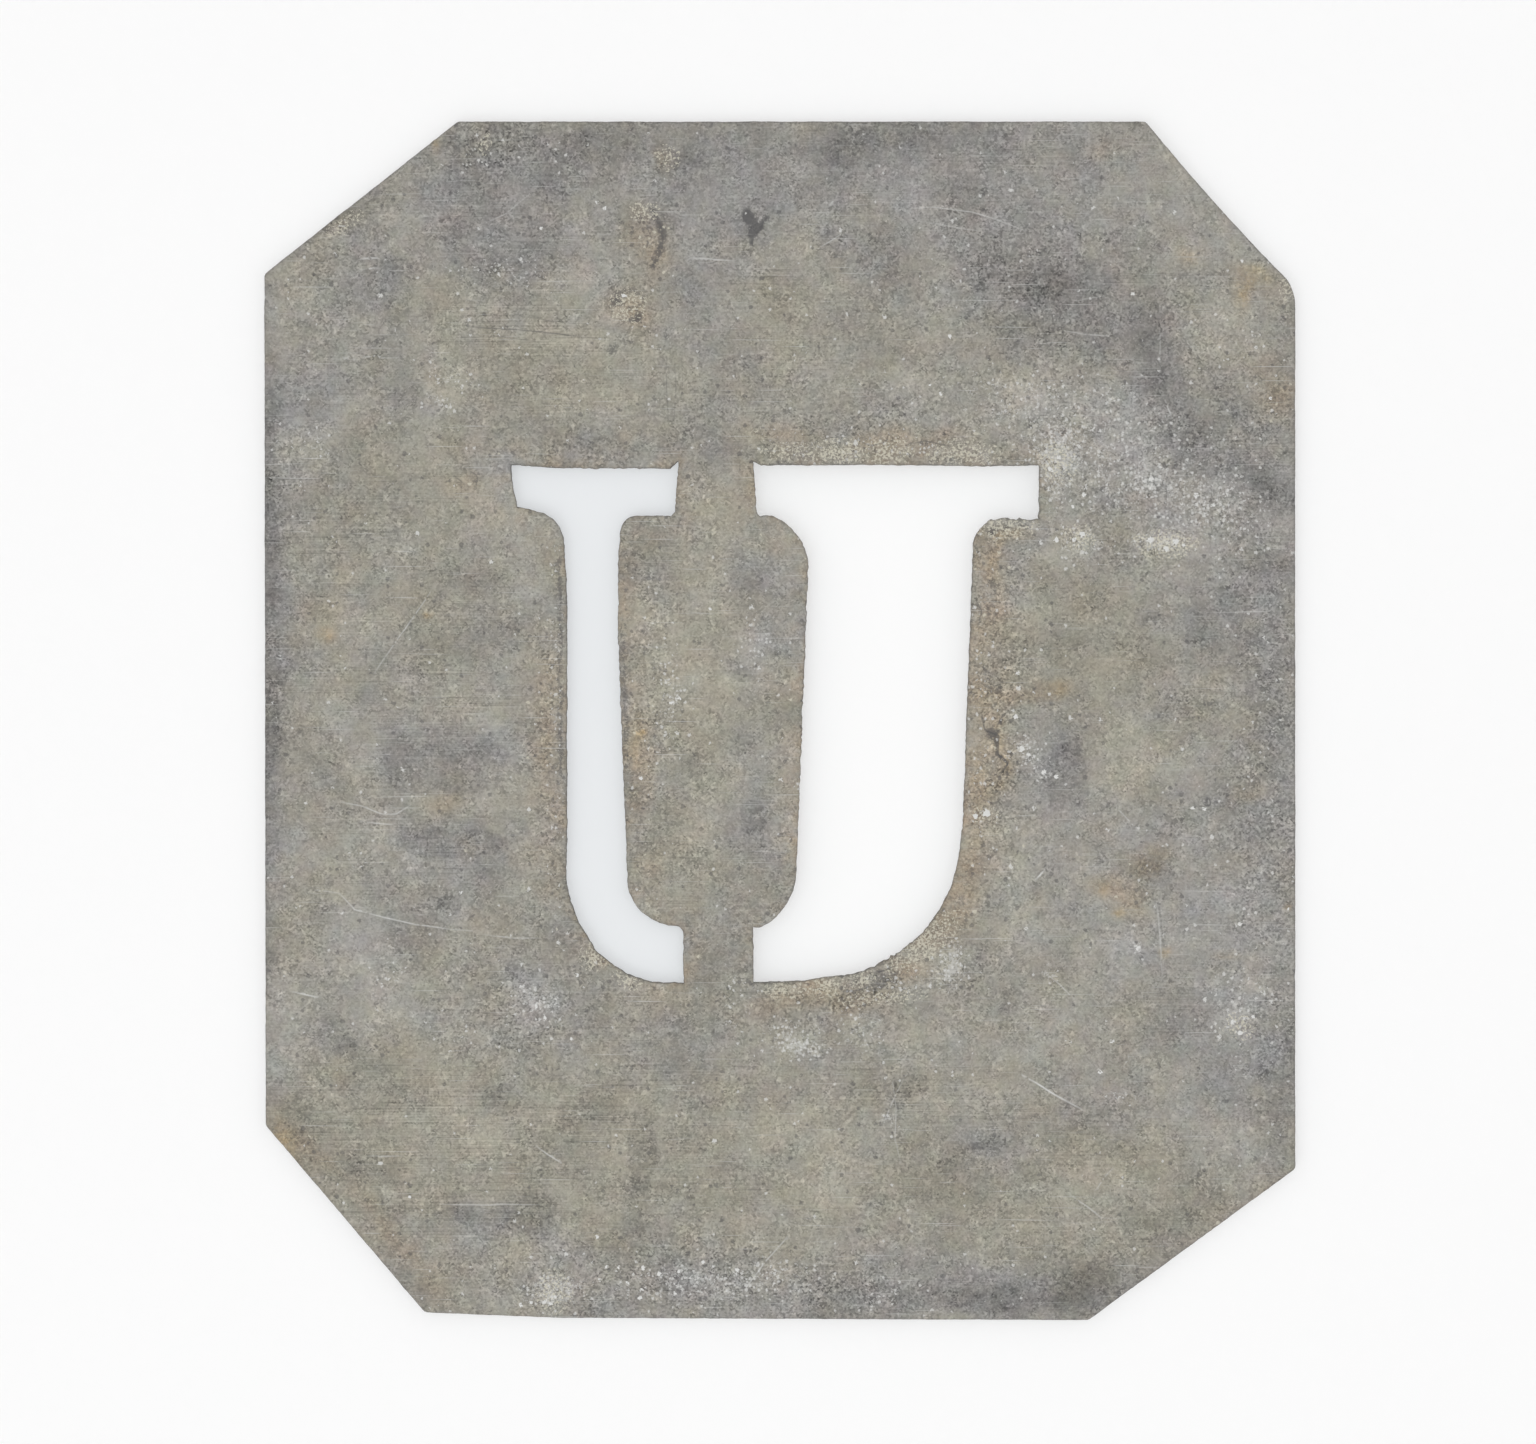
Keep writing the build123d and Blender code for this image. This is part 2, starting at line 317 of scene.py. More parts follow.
GRIT_STAINS = {
    "upper_right": (1140, 410, 130, 120, 20, 0.6),
    "vein_calm": (1150, 360, 70, 40, 45, -0.4),
    "vein_top": (1000, 260, 60, 60, 0, 0.6),
    "right_edge": (1268, 780, 36, 280, 0, 0.55),
    "upper_left": (500, 150, 90, 30, 0, 0.4),
    "left_edge": (300, 520, 40, 200, 0, 0.2),
    "bottom": (720, 1280, 220, 34, 0, 0.8),
    "bowl_left": (520, 1010, 60, 50, 0, 0.6),
    "above_letter": (870, 420, 120, 26, 0, 0.5),
    "bowl_foot": (860, 990, 110, 24, -5, 0.6),
    "stem_right": (1000, 700, 26, 190, 0, 0.8),
    "thin_right": (648, 720, 18, 190, 0, 0.6),
    "thin_left": (548, 740, 14, 150, 0, 0.5),
}
BLOOM_STAINS = {
    "field": (1110, 460, 95, 55, 25, 0.5),
    "field_right": (1210, 510, 50, 40, 20, 0.45),
    "crumbs": (1160, 543, 26, 9, -5, 1.0),
    "crumbs_left": (1078, 546, 26, 14, 0, 0.6),
    "crumbs_top": (1146, 482, 14, 12, 0, 0.6),
    "crumbs_serif": (1060, 452, 20, 22, 0, 0.6),
    "tail": (1020, 400, 50, 30, 20, 0.3),
    "shoulder": (450, 378, 20, 10, 10, 0.55),
    "shoulder_low": (440, 401, 15, 8, 10, 0.7),
    "shoulder_left": (318, 440, 20, 16, 0, 0.45),
    "upper_left": (476, 152, 16, 12, -40, 0.35),
    "upper_left_ring": (500, 270, 34, 12, 0, 0.35),
    "stem_right": (1026, 750, 16, 14, 0, 0.9),
    "stem_right_low": (1044, 772, 18, 8, 0, 0.5),
    "bowl_left": (538, 1002, 26, 16, 20, 0.8),
    "bottom": (690, 1282, 54, 18, 0, 0.8),
    "bottom_left": (552, 1290, 26, 16, 0, 1.3),
    "bottom_right": (780, 1276, 40, 16, 0, 0.55),
    "bottom_far": (880, 1296, 20, 8, 0, 0.5),
    "under_bowl": (805, 1050, 26, 10, 0, 0.6),
    "right_foot": (1240, 1010, 34, 40, 0, 0.3),
    "above_letter": (860, 446, 80, 10, 0, 0.5),
    "bowl_foot": (900, 988, 40, 10, -15, 0.5),
    "stem_edge": (980, 700, 10, 150, 0, 0.25),
    "counter_flecks": (668, 706, 13, 46, 0, 0.5),
    "counter_pale": (756, 646, 14, 34, 0, 0.45),
    "bowl_right": (952, 966, 15, 22, 0, 1.1),
    "under_bowl_left": (795, 1040, 24, 16, 0, 0.75),
    "under_bowl_middle": (862, 1032, 22, 20, 0, 0.5),
    "tie_right": (735, 1000, 14, 30, 0, 0.3),
    "serif_corner": (1052, 470, 16, 34, 0, 0.6),
    "low_blot": (886, 1120, 9, 8, 0, 0.6),
    "right_blot": (1050, 976, 9, 7, 0, 0.7),
    "left_blot": (357, 861, 9, 8, 0, 0.4),
    "left_run": (386, 975, 18, 34, 0, 0.3),
    "corner_strip": (1240, 345, 20, 20, 0, 0.2),
    "thin_edge": (556, 720, 6, 140, 0, 0.4),
    "right_low": (1120, 1098, 12, 6, 0, 0.7),
    "right_low_two": (1137, 946, 8, 6, 0, 0.9),
}
ROLLED_STAINS = {
    "left": (420, 700, 130, 200, 0, 0.6),
    "lower_left": (500, 1150, 210, 100, 0, 1.0),
    "lower_right": (960, 1110, 150, 70, 0, 0.6),
    "upper": (560, 350, 130, 50, 0, 0.7),
    "top_right": (1090, 215, 100, 40, 0, 0.5),
    "right_calm": (1120, 680, 90, 120, 0, -0.5),
    "bloom_calm": (1100, 420, 120, 100, 20, -0.8),
}
CREAM_STAINS = {
    "bowl_right": (924, 942, 30, 10, -38, 0.95),
    "bowl_foot": (862, 979, 9, 7, -20, 0.95),
    "bowl_foot_left": (827, 985, 12, 7, 0, 0.9),
    "bowl_end": (790, 990, 20, 5, 0, 0.5),
    "rough": (645, 211, 10, 7, 0, 0.7),
    "ring": (628, 306, 13, 12, 0, 0.4),
    "top": (668, 156, 8, 8, 0, 0.5),
    "top_left": (485, 145, 4, 7, 0, 0.9),
    "above_letter": (838, 454, 18, 10, 0, 0.95),
    "above_letter_two": (890, 452, 15, 10, 0, 0.85),
    "above_letter_three": (964, 454, 24, 9, 0, 0.75),
    "above_letter_four": (790, 452, 22, 6, 0, 0.4),
    "thin_bowl": (594, 956, 9, 9, 0, 0.95),
    "thin_bowl_foot": (628, 980, 10, 5, 20, 0.7),
    "serif_foot": (1006, 526, 20, 8, 0, 0.7),
    "stem_foot": (984, 815, 9, 5, 0, 0.7),
    "corner": (1290, 288, 7, 8, 0, 0.6),
    "bloom": (1166, 543, 20, 9, 5, 1.0),
    "bloom_left": (1079, 537, 10, 8, 0, 0.95),
    "bloom_serif": (1058, 462, 12, 14, 0, 0.7),
    "tan_line": (884, 998, 30, 4, -6, 0.5),
    "bottom": (554, 1292, 12, 14, 0, 0.6),
    "cut": (345, 224, 14, 5, -38, 0.7),
    "right_foot": (1240, 1026, 10, 8, 30, 0.7),
}
DARK_STAINS = {
    "fleck_head": (748, 216, 6.5, 6, 30, 1.9),
    "fleck_foot": (755, 229, 5.5, 7.5, 25, 1.9),
    "fleck_side": (766, 219, 6, 3.5, 0, 0.9),
    "fleck_drip": (752, 242, 4, 4, 0, 0.9),
    "spot_under_ring": (612, 350, 8, 9, 0, 0.6),
    "ring_one": (618, 300, 6, 6, 0, 0.4),
    "ring_two": (634, 318, 7, 5, 0, 0.4),
    "pit_left": (392, 479, 4, 4, 0, 0.9),
    "pit_pair": (450, 481, 4, 3, 0, 0.7),
    "pit_pair_two": (476, 482, 4, 3, 0, 0.7),
    "stem_spot": (992, 584, 7, 7, 0, 0.6),
    "stem_blot_top": (995, 533, 6, 8, 0, 0.55),
    "stem_spot_two": (989, 607, 5, 6, 0, 0.6),
    "stem_spot_low": (992, 733, 8, 9, 0, 1.0),
    "stem_spot_top": (986, 672, 9, 10, 0, 0.5),
    "stem_dark_top": (996, 690, 10, 8, 0, 0.6),
    "bowl_foot_spot": (886, 978, 14, 8, -20, 0.6),
    "counter_dot": (777, 683, 3, 3, 0, 0.6),
    "counter_pit": (748, 982, 4, 4, 0, 0.9),
    "right_dot": (1206, 800, 3, 4, 0, 0.9),
    "right_dot_two": (1193, 782, 5, 4, 0, 0.5),
    "right_dot_three": (1190, 757, 4, 6, 30, 0.5),
    "left_dot": (612, 1085, 3, 3, 0, 0.6),
    "stray_left_foot": (437, 1059, 3, 3, 0, 0.7),
    "stray_left_foot_two": (460, 1057, 3, 3, 0, 0.7),
    "stray_left_foot_three": (535, 1071, 4, 3, 0, 0.7),
    "top_mark": (620, 222, 7, 3, 40, 0.7),
    "left_cut_mark": (318, 218, 8, 5, -35, 0.6),
    "right_vein_knot": (1165, 362, 6, 4, 0, 0.35),
    "right_blot": (1170, 432, 8, 12, 0, 0.5),
}

# Where the cuts stray from the drawn letter: x, y, reach, and how far across and down
STRAYS = {
    "serif_end": (513, 484, 26, -3.2, -0.6),
    "stem_shoulder": (565, 550, 24, -2.6, 0),
    "stem_right_top": (619, 534, 15, 2.4, 0.6),
    "bowl_left": (574, 896, 34, -2.6, 0.4),
    "bowl_low": (598, 950, 24, -2.0, 2.2),
    "bowl_foot": (645, 976, 32, 0, 2.6),
    "bowl_corner": (686, 982, 10, 0.6, 1.0),
    "bowl_inner": (664, 926, 13, 0, -2.2),
    "thick_bracket": (978, 528, 15, 1.2, 1.4),
    "thick_foot": (800, 981, 52, 0, 1.7),
    "thick_bowl": (935, 925, 30, 1.0, 1.2),
}

# Where the cuts are most ragged: x, y, reach across, reach down, turn, and how much more ragged
RAGGED_CUTS = {
    "serif_underside": (1018, 520, 26, 12, 0, 2.6),
    "bowl": (890, 965, 90, 30, -25, 2.2),
    "thin_left": (556, 700, 10, 190, 0, 1.0),
    "thin_right": (630, 640, 12, 90, 0, 0.8),
    "thin_top": (600, 466, 90, 8, 0, 0.7),
    "thick_left": (803, 700, 10, 160, 0, 0.7),
    "tie_left": (678, 500, 10, 26, 0, 0.8),
    "tie_right": (757, 500, 10, 26, 0, 1.2),
}

# Slate films with a crisp border: x, y, reach across, reach down, turn
FILMS = {
    "upper_left": (503, 208, 68, 84, 6),
    "shoulder": (391, 288, 24, 35, 0),
    "stem_right": (1067, 778, 23, 37, 0),
    "counter_upper": (744, 674, 12, 9, 0),
    "counter_lower": (754, 818, 14, 19, 0),
    "left_middle": (442, 762, 66, 36, 0),
    "left_lower": (455, 843, 58, 15, 0),
    "low_left": (502, 1100, 21, 16, 0),
    "low_left_band": (495, 1218, 64, 11, 4),
    "low_left_end": (536, 1216, 21, 26, 0),
    "under_bowl_column": (642, 1150, 15, 44, 0),
    "right_small": (1146, 618, 14, 11, 0),
    "bowl_foot": (886, 979, 15, 10, 0),
    "bowl_foot_two": (886, 979, 12, 8, 0),
    "stem_top": (996, 534, 7, 10, 0),
    "right_small_two": (1196, 640, 11, 8, 0),
    "left_foot": (450, 905, 13, 11, 0),
    "left_foot_two": (345, 1047, 13, 12, 0),
    "low_middle": (910, 1084, 20, 12, 0),
    "low_right": (990, 1146, 20, 11, 0),
}

# Runs: points along the way, reach across it, strength
SHADE_RUNS = {
    "vein": (((962, 185), (985, 245), (1035, 285), (1095, 300), (1145, 325), (1165, 385), (1200, 440),
              (1245, 478), (1290, 505)), 22, -0.5),
    "vein_branch": (((1000, 330), (1060, 345), (1120, 350)), 20, -0.3),
    "tie_shadow": (((560, 448), (640, 446), (690, 440)), 9, -0.25),
    "left_diagonal": (((447, 762), (515, 748)), 5, -0.4),
    "top_left_cut_line": (((285, 272), (450, 138)), 6, -0.3),
}
COOL_RUNS = {
    "vein": (((962, 185), (985, 245), (1035, 285), (1095, 300), (1145, 325), (1165, 385), (1200, 440),
              (1245, 478), (1290, 505)), 34, 0.8),
}
RUST_RUNS = {
    "stem_crack_glow": (((999, 720), (1000, 750), (1009, 762), (1002, 785)), 6, 0.4),
}
DARK_RUNS = {
    "rough": (((652, 208), (660, 222), (663, 238), (656, 254), (653, 268)), 4, 0.9),
    "rough_inner": (((642, 218), (650, 230), (646, 246)), 4, 0.6),
    "ring": (((612, 312), (616, 294), (632, 288), (643, 302), (638, 318), (622, 324)), 4, 0.6),
    "ring_inner": (((622, 304), (632, 308)), 3, 0.6),
    "stem_crack": (((1002, 716), (998, 736), (998, 757), (1009, 762), (1004, 776), (999, 784)), 1.6, 0.9),
    # stem_edge, thin_edge, thin_left_edge and serif_underside: painted shade along the cut edges
    "stem_edge": (((972, 560), (970, 700), (966, 800)), 3.5, 0.3),
    "thin_edge": (((623, 622), (624, 690), (627, 760)), 4.5, 0.55),
    "thin_left_edge": (((559, 560), (560, 660), (561, 780)), 4, 0.65),
    "serif_underside": (((990, 530), (1030, 524)), 4, 0.5),
}

# Scratches: points along the way in pixels, and strength. Negative ones are cracks and dark lines, one of
# them a painted shadow beside a fibre.
SCRATCHES = {
    "top_left_crack": (((594, 197), (602, 203), (608, 209)), -1.0),
    "top_left_cluster": (((660, 148), (666, 158), (660, 168)), -0.7),
    "cut_edge_mark": (((322, 222), (336, 212), (346, 204)), -0.7),
    "stem_crack": (((982, 718), (985, 730), (999, 736), (998, 755), (1009, 762), (999, 778)), -1.1),
    "stem_crack_low": (((984, 800), (994, 803), (1002, 799)), -0.7),
    "stem_crack_high": (((975, 600), (982, 612), (978, 628)), -0.7),
    "upper_line": (((470, 327), (510, 329), (560, 334), (602, 339)), -0.8),
    "upper_line_two": (((455, 338), (500, 336), (540, 342)), -0.5),
    "upper_line_three": (((520, 316), (560, 322), (590, 324)), -0.4),
    "bristle": (((667, 358), (666, 385), (668, 418)), -0.5),
    "bristle_two": (((675, 362), (676, 392), (674, 422)), -0.5),
    "bristle_three": (((682, 358), (683, 380), (681, 402)), -0.4),
    "left_cluster": (((446, 482), (454, 476), (462, 482)), -1.0),
    "left_cluster_two": (((468, 470), (478, 476), (476, 486)), -0.9),
    "bowl_crack": (((862, 975), (880, 972), (896, 966)), -1.0),
    "bowl_crack_two": (((842, 992), (860, 990), (878, 984)), -0.8),
    "right_ring": (((1204, 797), (1210, 799), (1210, 805), (1204, 806), (1202, 800)), -1.0),
    # painted shadow beside the right fibre
    "fibre_shadow": (((1160, 906), (1163, 940), (1165, 975)), -0.4),
    "letter_above_crack": (((905, 445), (925, 441), (948, 446)), -0.8),
    "letter_above_crack_two": (((858, 440), (870, 446), (886, 442)), -0.7),
    "arc": (((905, 209), (933, 207), (972, 212), (1000, 221), (1023, 230)), 0.65),
    "arc_low": (((925, 222), (950, 226), (985, 232)), 0.4),
    "top_short": (((691, 258), (712, 259), (734, 261)), 0.9),
    "top_tick": (((829, 206), (836, 197)), 0.9),
    "top_tick_low": (((822, 246), (841, 234)), 0.7),
    "shoulder_line": (((487, 222), (505, 214), (528, 195)), 0.5),
    "vein_line": (((1065, 331), (1085, 334), (1107, 336)), 0.6),
    "vein_line_top": (((1076, 301), (1090, 298), (1105, 296)), 0.4),
    "vein_line_fall": (((1160, 333), (1160, 352), (1160, 371)), 0.45),
    "vein_line_low": (((1166, 402), (1171, 416)), 0.9),
    "right_fibre": (((1157, 905), (1160, 940), (1162, 975)), 0.6),
    "right_slant": (((1047, 974), (1060, 984), (1073, 998)), 0.6),
    "right_slant_low": (((1025, 1024), (1036, 1031)), 0.8),
    "right_nick": (((1134, 943), (1140, 950)), 1.4),
    "right_drop": (((1037, 879), (1044, 871)), 1.3),
    "right_curve": (((1124, 1067), (1128, 1057)), 0.8),
    "left_long": (((316, 890), (339, 893), (355, 910), (382, 917), (414, 924), (447, 929), (472, 931)), 0.8),
    "left_long_end": (((488, 935), (512, 938), (538, 938)), 0.7),
    "left_hook": (((341, 802), (362, 806), (382, 814), (396, 814), (410, 805)), 0.8),
    "left_hook_low": (((364, 822), (380, 824), (393, 825)), 0.7),
    "left_diagonal": (((430, 593), (410, 622), (390, 650), (375, 672)), 0.7),
    "left_foot": (((293, 992), (318, 997)), 0.9),
    "under_bowl_slant": (((745, 1290), (765, 1262), (785, 1240)), 0.8),
    "low_slant": (((538, 1147), (550, 1156), (561, 1163)), 0.8),
    "low_flat": (((440, 1204), (480, 1205), (515, 1204)), 0.6),
    "low_flat_two": (((369, 1156), (401, 1156)), 0.6),
    "low_right_flat": (((1022, 1075), (1036, 1083), (1050, 1092), (1066, 1101), (1081, 1109)), 1.2),
    "low_right_tail": (((1072, 1196), (1086, 1206), (1100, 1217)), 0.8),
    "low_right_curl": (((1096, 1190), (1104, 1178), (1112, 1170)), 0.7),
    "low_middle_fall": (((893, 1082), (896, 1110), (895, 1140), (900, 1160)), 0.5),
    "low_middle_fan": (((905, 1076), (893, 1100), (884, 1122)), 0.5),
    "upper_dash": (((364, 357), (374, 356), (384, 358)), 0.9),
    "upper_dash_two": (((340, 359), (346, 358), (353, 359)), 0.8),
    "patch_dash": (((362, 259), (378, 258)), 1.2),
    "patch_dash_two": (((363, 270), (376, 268)), 1.0),
    "patch_dash_three": (((334, 225), (350, 227)), 0.8),
    "counter_flat": (((690, 612), (712, 614)), 0.4),
    "bowl_slant": (((1117, 808), (1128, 820), (1139, 831)), 0.8),
}

# White or cream crumbs, and one painted highlight: x, y, reach and strength
CRUMBS_AND_GLINT = {
    # painted highlight: a white dot where the face glints
    "patch_painted_glint": (541, 228, 2.6, 1.1),
    "streak_white": (597, 202, 3.0, 1.1),
    "streak_white_two": (604, 208, 3.0, 1.0),
    "ring_white": (624, 296, 3.6, 1.1),
    "top_white": (950, 336, 3.0, 1.3),
    "letter_above_one": (930, 385, 2.0, 1.1),
    "letter_above_two": (941, 394, 3.0, 1.2),
    "right_shoulder": (1133, 294, 3.0, 1.0),
    "right_shoulder_two": (1242, 261, 3.0, 0.9),
    "right_edge_high": (1271, 398, 3.0, 1.1),
    "bloom_white": (1150, 540, 4.6, 1.3),
    "bloom_white_three": (1176, 541, 4.6, 1.4),
    "bloom_white_four": (1166, 549, 4.0, 1.3),
    "bloom_white_five": (1184, 545, 3.0, 1.0),
    "bloom_white_six": (1151, 479, 4.0, 1.1),
    "bloom_white_seven": (1150, 488, 3.4, 1.0),
    "bloom_white_eight": (1196, 495, 3.8, 1.1),
    "bloom_white_nine": (1214, 505, 3.0, 1.0),
    "bloom_white_ten": (1084, 495, 3.6, 1.1),
    "bloom_white_eleven": (1073, 507, 3.2, 1.0),
    "serif_white": (1082, 534, 4.4, 1.5),
    "serif_white_two": (1074, 540, 3.4, 1.1),
    "serif_white_three": (1057, 540, 4.0, 1.3),
    "serif_white_four": (1059, 458, 3.4, 1.1),
    "serif_white_five": (1050, 469, 4.0, 1.3),
    "stem_white": (1016, 717, 3.6, 1.3),
    "stem_white_two": (1018, 673, 3.2, 1.0),
    "stem_white_three": (1022, 749, 4.2, 1.3),
    "stem_white_four": (1029, 755, 3.6, 1.1),
    "stem_white_five": (1044, 772, 4.0, 1.4),
    "stem_white_six": (1056, 777, 3.2, 1.3),
    "stem_crumb": (976, 816, 4.0, 1.5),
    "stem_crumb_two": (987, 813, 6.0, 1.7),
    "thin_cream": (641, 778, 2.8, 1.4),
    "counter_white": (710, 609, 2.8, 1.3),
    "counter_speck_two": (671, 703, 3.2, 1.0),
    "counter_speck_three": (679, 698, 3.0, 1.0),
    "left_cream": (461, 893, 3.2, 1.0),
    "bowl_white_two": (577, 975, 3.0, 1.0),
    "bowl_white_three": (572, 1039, 2.8, 1.1),
    "bowl_white_four": (536, 1006, 3.2, 1.1),
    "bowl_white_five": (545, 1018, 3.0, 1.1),
    "low_left_three": (410, 1197, 2.8, 1.1),
    "bottom_two": (550, 1304, 3.6, 1.1),
    "bottom_three": (641, 1290, 3.0, 1.1),
    "bottom_four": (619, 1267, 3.0, 1.0),
    "bottom_five": (643, 1268, 3.0, 1.1),
    "bottom_six": (679, 1271, 3.0, 1.1),
    "bottom_eight": (521, 1305, 3.0, 1.0),
    "bottom_nine": (555, 1297, 3.0, 1.1),
    "bottom_ten": (544, 1302, 3.0, 1.1),
    "bottom_eleven": (531, 1303, 3.0, 1.0),
    "bottom_twelve": (600, 1280, 3.0, 1.0),
    "bottom_thirteen": (597, 1237, 3.0, 1.0),
    "bottom_fourteen": (607, 1267, 3.0, 1.0),
    "bottom_fifteen": (659, 1274, 3.0, 1.1),
    "bottom_sixteen": (627, 1283, 3.0, 1.1),
    "bottom_seventeen": (640, 1298, 3.4, 1.1),
    "bottom_eighteen": (703, 1262, 3.0, 1.0),
    "bottom_nineteen": (737, 1270, 3.0, 1.0),
    "bottom_twenty": (675, 1293, 3.0, 1.0),
    "right_cream": (1233, 1022, 4.4, 1.2),
    "right_cream_two": (1240, 1033, 4.0, 1.4),
    "right_cream_three": (1253, 1017, 3.0, 1.0),
    "right_cream_four": (1240, 924, 3.4, 1.1),
    "right_cream_five": (1193, 808, 3.0, 1.1),
    "right_cream_six": (1204, 809, 3.0, 1.0),
    "right_white_seven": (1138, 947, 4.0, 1.6),
    "right_blot": (1112, 1041, 4.0, 0.8),
    "right_blot_two": (1100, 1072, 3.4, 0.8),
    "right_yellow": (1289, 909, 3.0, 0.9),
}


# Places and noise

def on_face(pixels):
    """Places on the sheet's face, in millimetres, for the photograph's pixels."""
    return (np.asarray(pixels, float) - CENTRE_PIXEL) * Y_TURNED / PIXELS_PER_MM


def in_pixels(places):
    """The photograph's pixels for places on the sheet's face."""
    return places * Y_TURNED * PIXELS_PER_MM + CENTRE_PIXEL


def smooth_noise(points, cell, seed, octaves=1, gain=0.5):
    """Noise of about -1 to 1 at each point, with features about one cell wide."""
    drop = -math.log2(gain)
    right, down, deep = (seed * shift for shift in SEED_SHIFTS)
    near = [(x / cell + right, y / cell - down, deep) for x, y in points]
    return np.array([noise.fractal(place, drop, 2.0, octaves) for place in near])


def noise_pair(points, cell, seed, octaves=1):
    """Noise across and up at each point."""
    return np.stack([smooth_noise(points, cell, seed + i, octaves) for i in (0, 1)], axis=-1)


def distance_to_run(points, way):
    """How far each point is from a run of straight pieces."""
    way = np.asarray(way, float)
    nearest = np.full(len(points), np.inf)
    for start, end in zip(way[:-1], way[1:]):
        piece = end - start
        share = np.clip((points - start) @ piece / (piece @ piece), 0, 1)
        offset = points - start - share[:, None] * piece
        nearest = np.minimum(nearest, np.hypot(offset[:, 0], offset[:, 1]))
    return nearest


def offset_in(pixels, x, y, reach_x, reach_y, turn):
    """Where places lie along and across a turned mark, as shares of its reaches."""
    angle = math.radians(turn)
    offset = pixels - (x, y)
    along = offset @ (math.cos(angle), math.sin(angle)) / reach_x
    across = offset @ (-math.sin(angle), math.cos(angle)) / reach_y
    return along, across


def filmed_at(pixels):
    """How deep each place lies in a slate film, 1 at its middle, 0 at its border and less outside."""
    depth = np.full(len(pixels), -1.0)
    for film in FILMS.values():
        along, across = offset_in(pixels, *film)
        outward = (np.abs(along) ** FILM_POWER + np.abs(across) ** FILM_POWER) ** (1 / FILM_POWER)
        depth = np.maximum(depth, 1 - outward)
    return depth


def stained(pixels, stains, runs=()):
    """The sum of the named stains and runs at each place, each fading out from its middle."""
    total = np.zeros(len(pixels))
    for *stain, strength in stains.values():
        along, across = offset_in(pixels, *stain)
        total += strength * np.exp(-(along ** 2 + across ** 2) ** FADE_POWER)
    for way, reach, strength in dict(runs).values():
        total += strength * np.exp(-(distance_to_run(pixels, way) / reach) ** 2)
    return total


# Outlines

def wall_edges(mesh):
    """The upper edges of the CAD sheet's walls, as pairs of places in millimetres."""
    pairs = []
    for face in mesh.polygons:
        if abs(face.normal.z) > WALL_LEAN:
            continue
        corners = [mesh.vertices[i].co / MM for i in face.vertices]
        rim = [(corner.z, (round(corner.x, 3), round(corner.y, 3))) for corner in corners]
        for (height, first), (next_height, second) in zip(rim, rim[1:] + rim[:1]):
            if abs(height - next_height) < LEVEL_GAP and height > THICKNESS / 2:
                pairs.append((first, second))
    return pairs


def chained(pairs):
    """Closed loops of places from unordered pairs of neighbours."""
    beside = {}
    for first, second in pairs:
        if first != second:
            beside.setdefault(first, set()).add(second)
            beside.setdefault(second, set()).add(first)
    loops = []
    unused = set(beside)
    while unused:
        loop = []
        onward = [min(unused)]
        while onward:
            loop.append(onward[0])
            unused.discard(onward[0])
            onward = sorted(beside[loop[-1]] & unused)
        loops.append(np.array(loop))
    return loops


def enclosed(loop):
    """The area inside a loop, negative where it runs clockwise."""
    x, y = loop.T
    return (x * np.roll(y, -1) - np.roll(x, -1) * y).sum() / 2


def cad_outlines():
    """The sheet's outline anticlockwise, then the thin and thick openings clockwise: metal on the left."""
    loops = chained(wall_edges(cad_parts["stencil_plate"].data))
    outline, thick, thin = sorted(loops, key=lambda loop: -abs(enclosed(loop)))[:3]
    outline = outline if enclosed(outline) > 0 else outline[::-1]
    return [outline, *(loop if enclosed(loop) < 0 else loop[::-1] for loop in (thin, thick))]


def evenly(run, step, least=1, with_end=False):
    """Even places along an open run, at least so many."""
    travelled = np.concatenate([[0], np.cumsum(np.hypot(*np.diff(run, axis=0).T))])
    count = max(least, round(travelled[-1] / step))
    marks = np.linspace(0, travelled[-1], count, endpoint=with_end)
    return np.stack([np.interp(marks, travelled, run[:, i]) for i in (0, 1)], axis=-1)


def stepped(loop):
    """The loop in even steps that keep its sharp corners."""
    after = np.roll(loop, -1, axis=0) - loop
    heading = np.arctan2(after[:, 1], after[:, 0])
    turn = np.abs((heading - np.roll(heading, 1) + math.pi) % (2 * math.pi) - math.pi)
    sharp = [i for i in range(len(loop)) if turn[i] > SHARP_TURN] or [0]
    loop = np.roll(loop, -sharp[0], axis=0)
    closed = np.vstack([loop, loop[:1]])
    sharp = [i - sharp[0] for i in sharp] + [len(loop)]
    runs = [closed[first:last + 1] for first, last in zip(sharp[:-1], sharp[1:])]
    return np.vstack([evenly(run, EDGE_STEP) for run in runs])


def left_of(along):
    """Unit directions to the left of the given ones."""
    left = np.stack([-along[:, 1], along[:, 0]], axis=-1)
    return left / np.hypot(*left.T)[:, None]


def left_normals(loop):
    """At each place of a loop, the unit direction to its left, which is into the metal."""
    return left_of(np.roll(loop, -1, axis=0) - np.roll(loop, 1, axis=0))


def strayed(loop):
    """The loop moved at the places where the hand strayed."""
    pixels = in_pixels(loop)
    for x, y, reach, across, down in STRAYS.values():
        share = np.exp(-((pixels - (x, y)) ** 2).sum(axis=1) / reach ** 2)
        loop = loop + share[:, None] * (across, -down) / PIXELS_PER_MM
    return loop


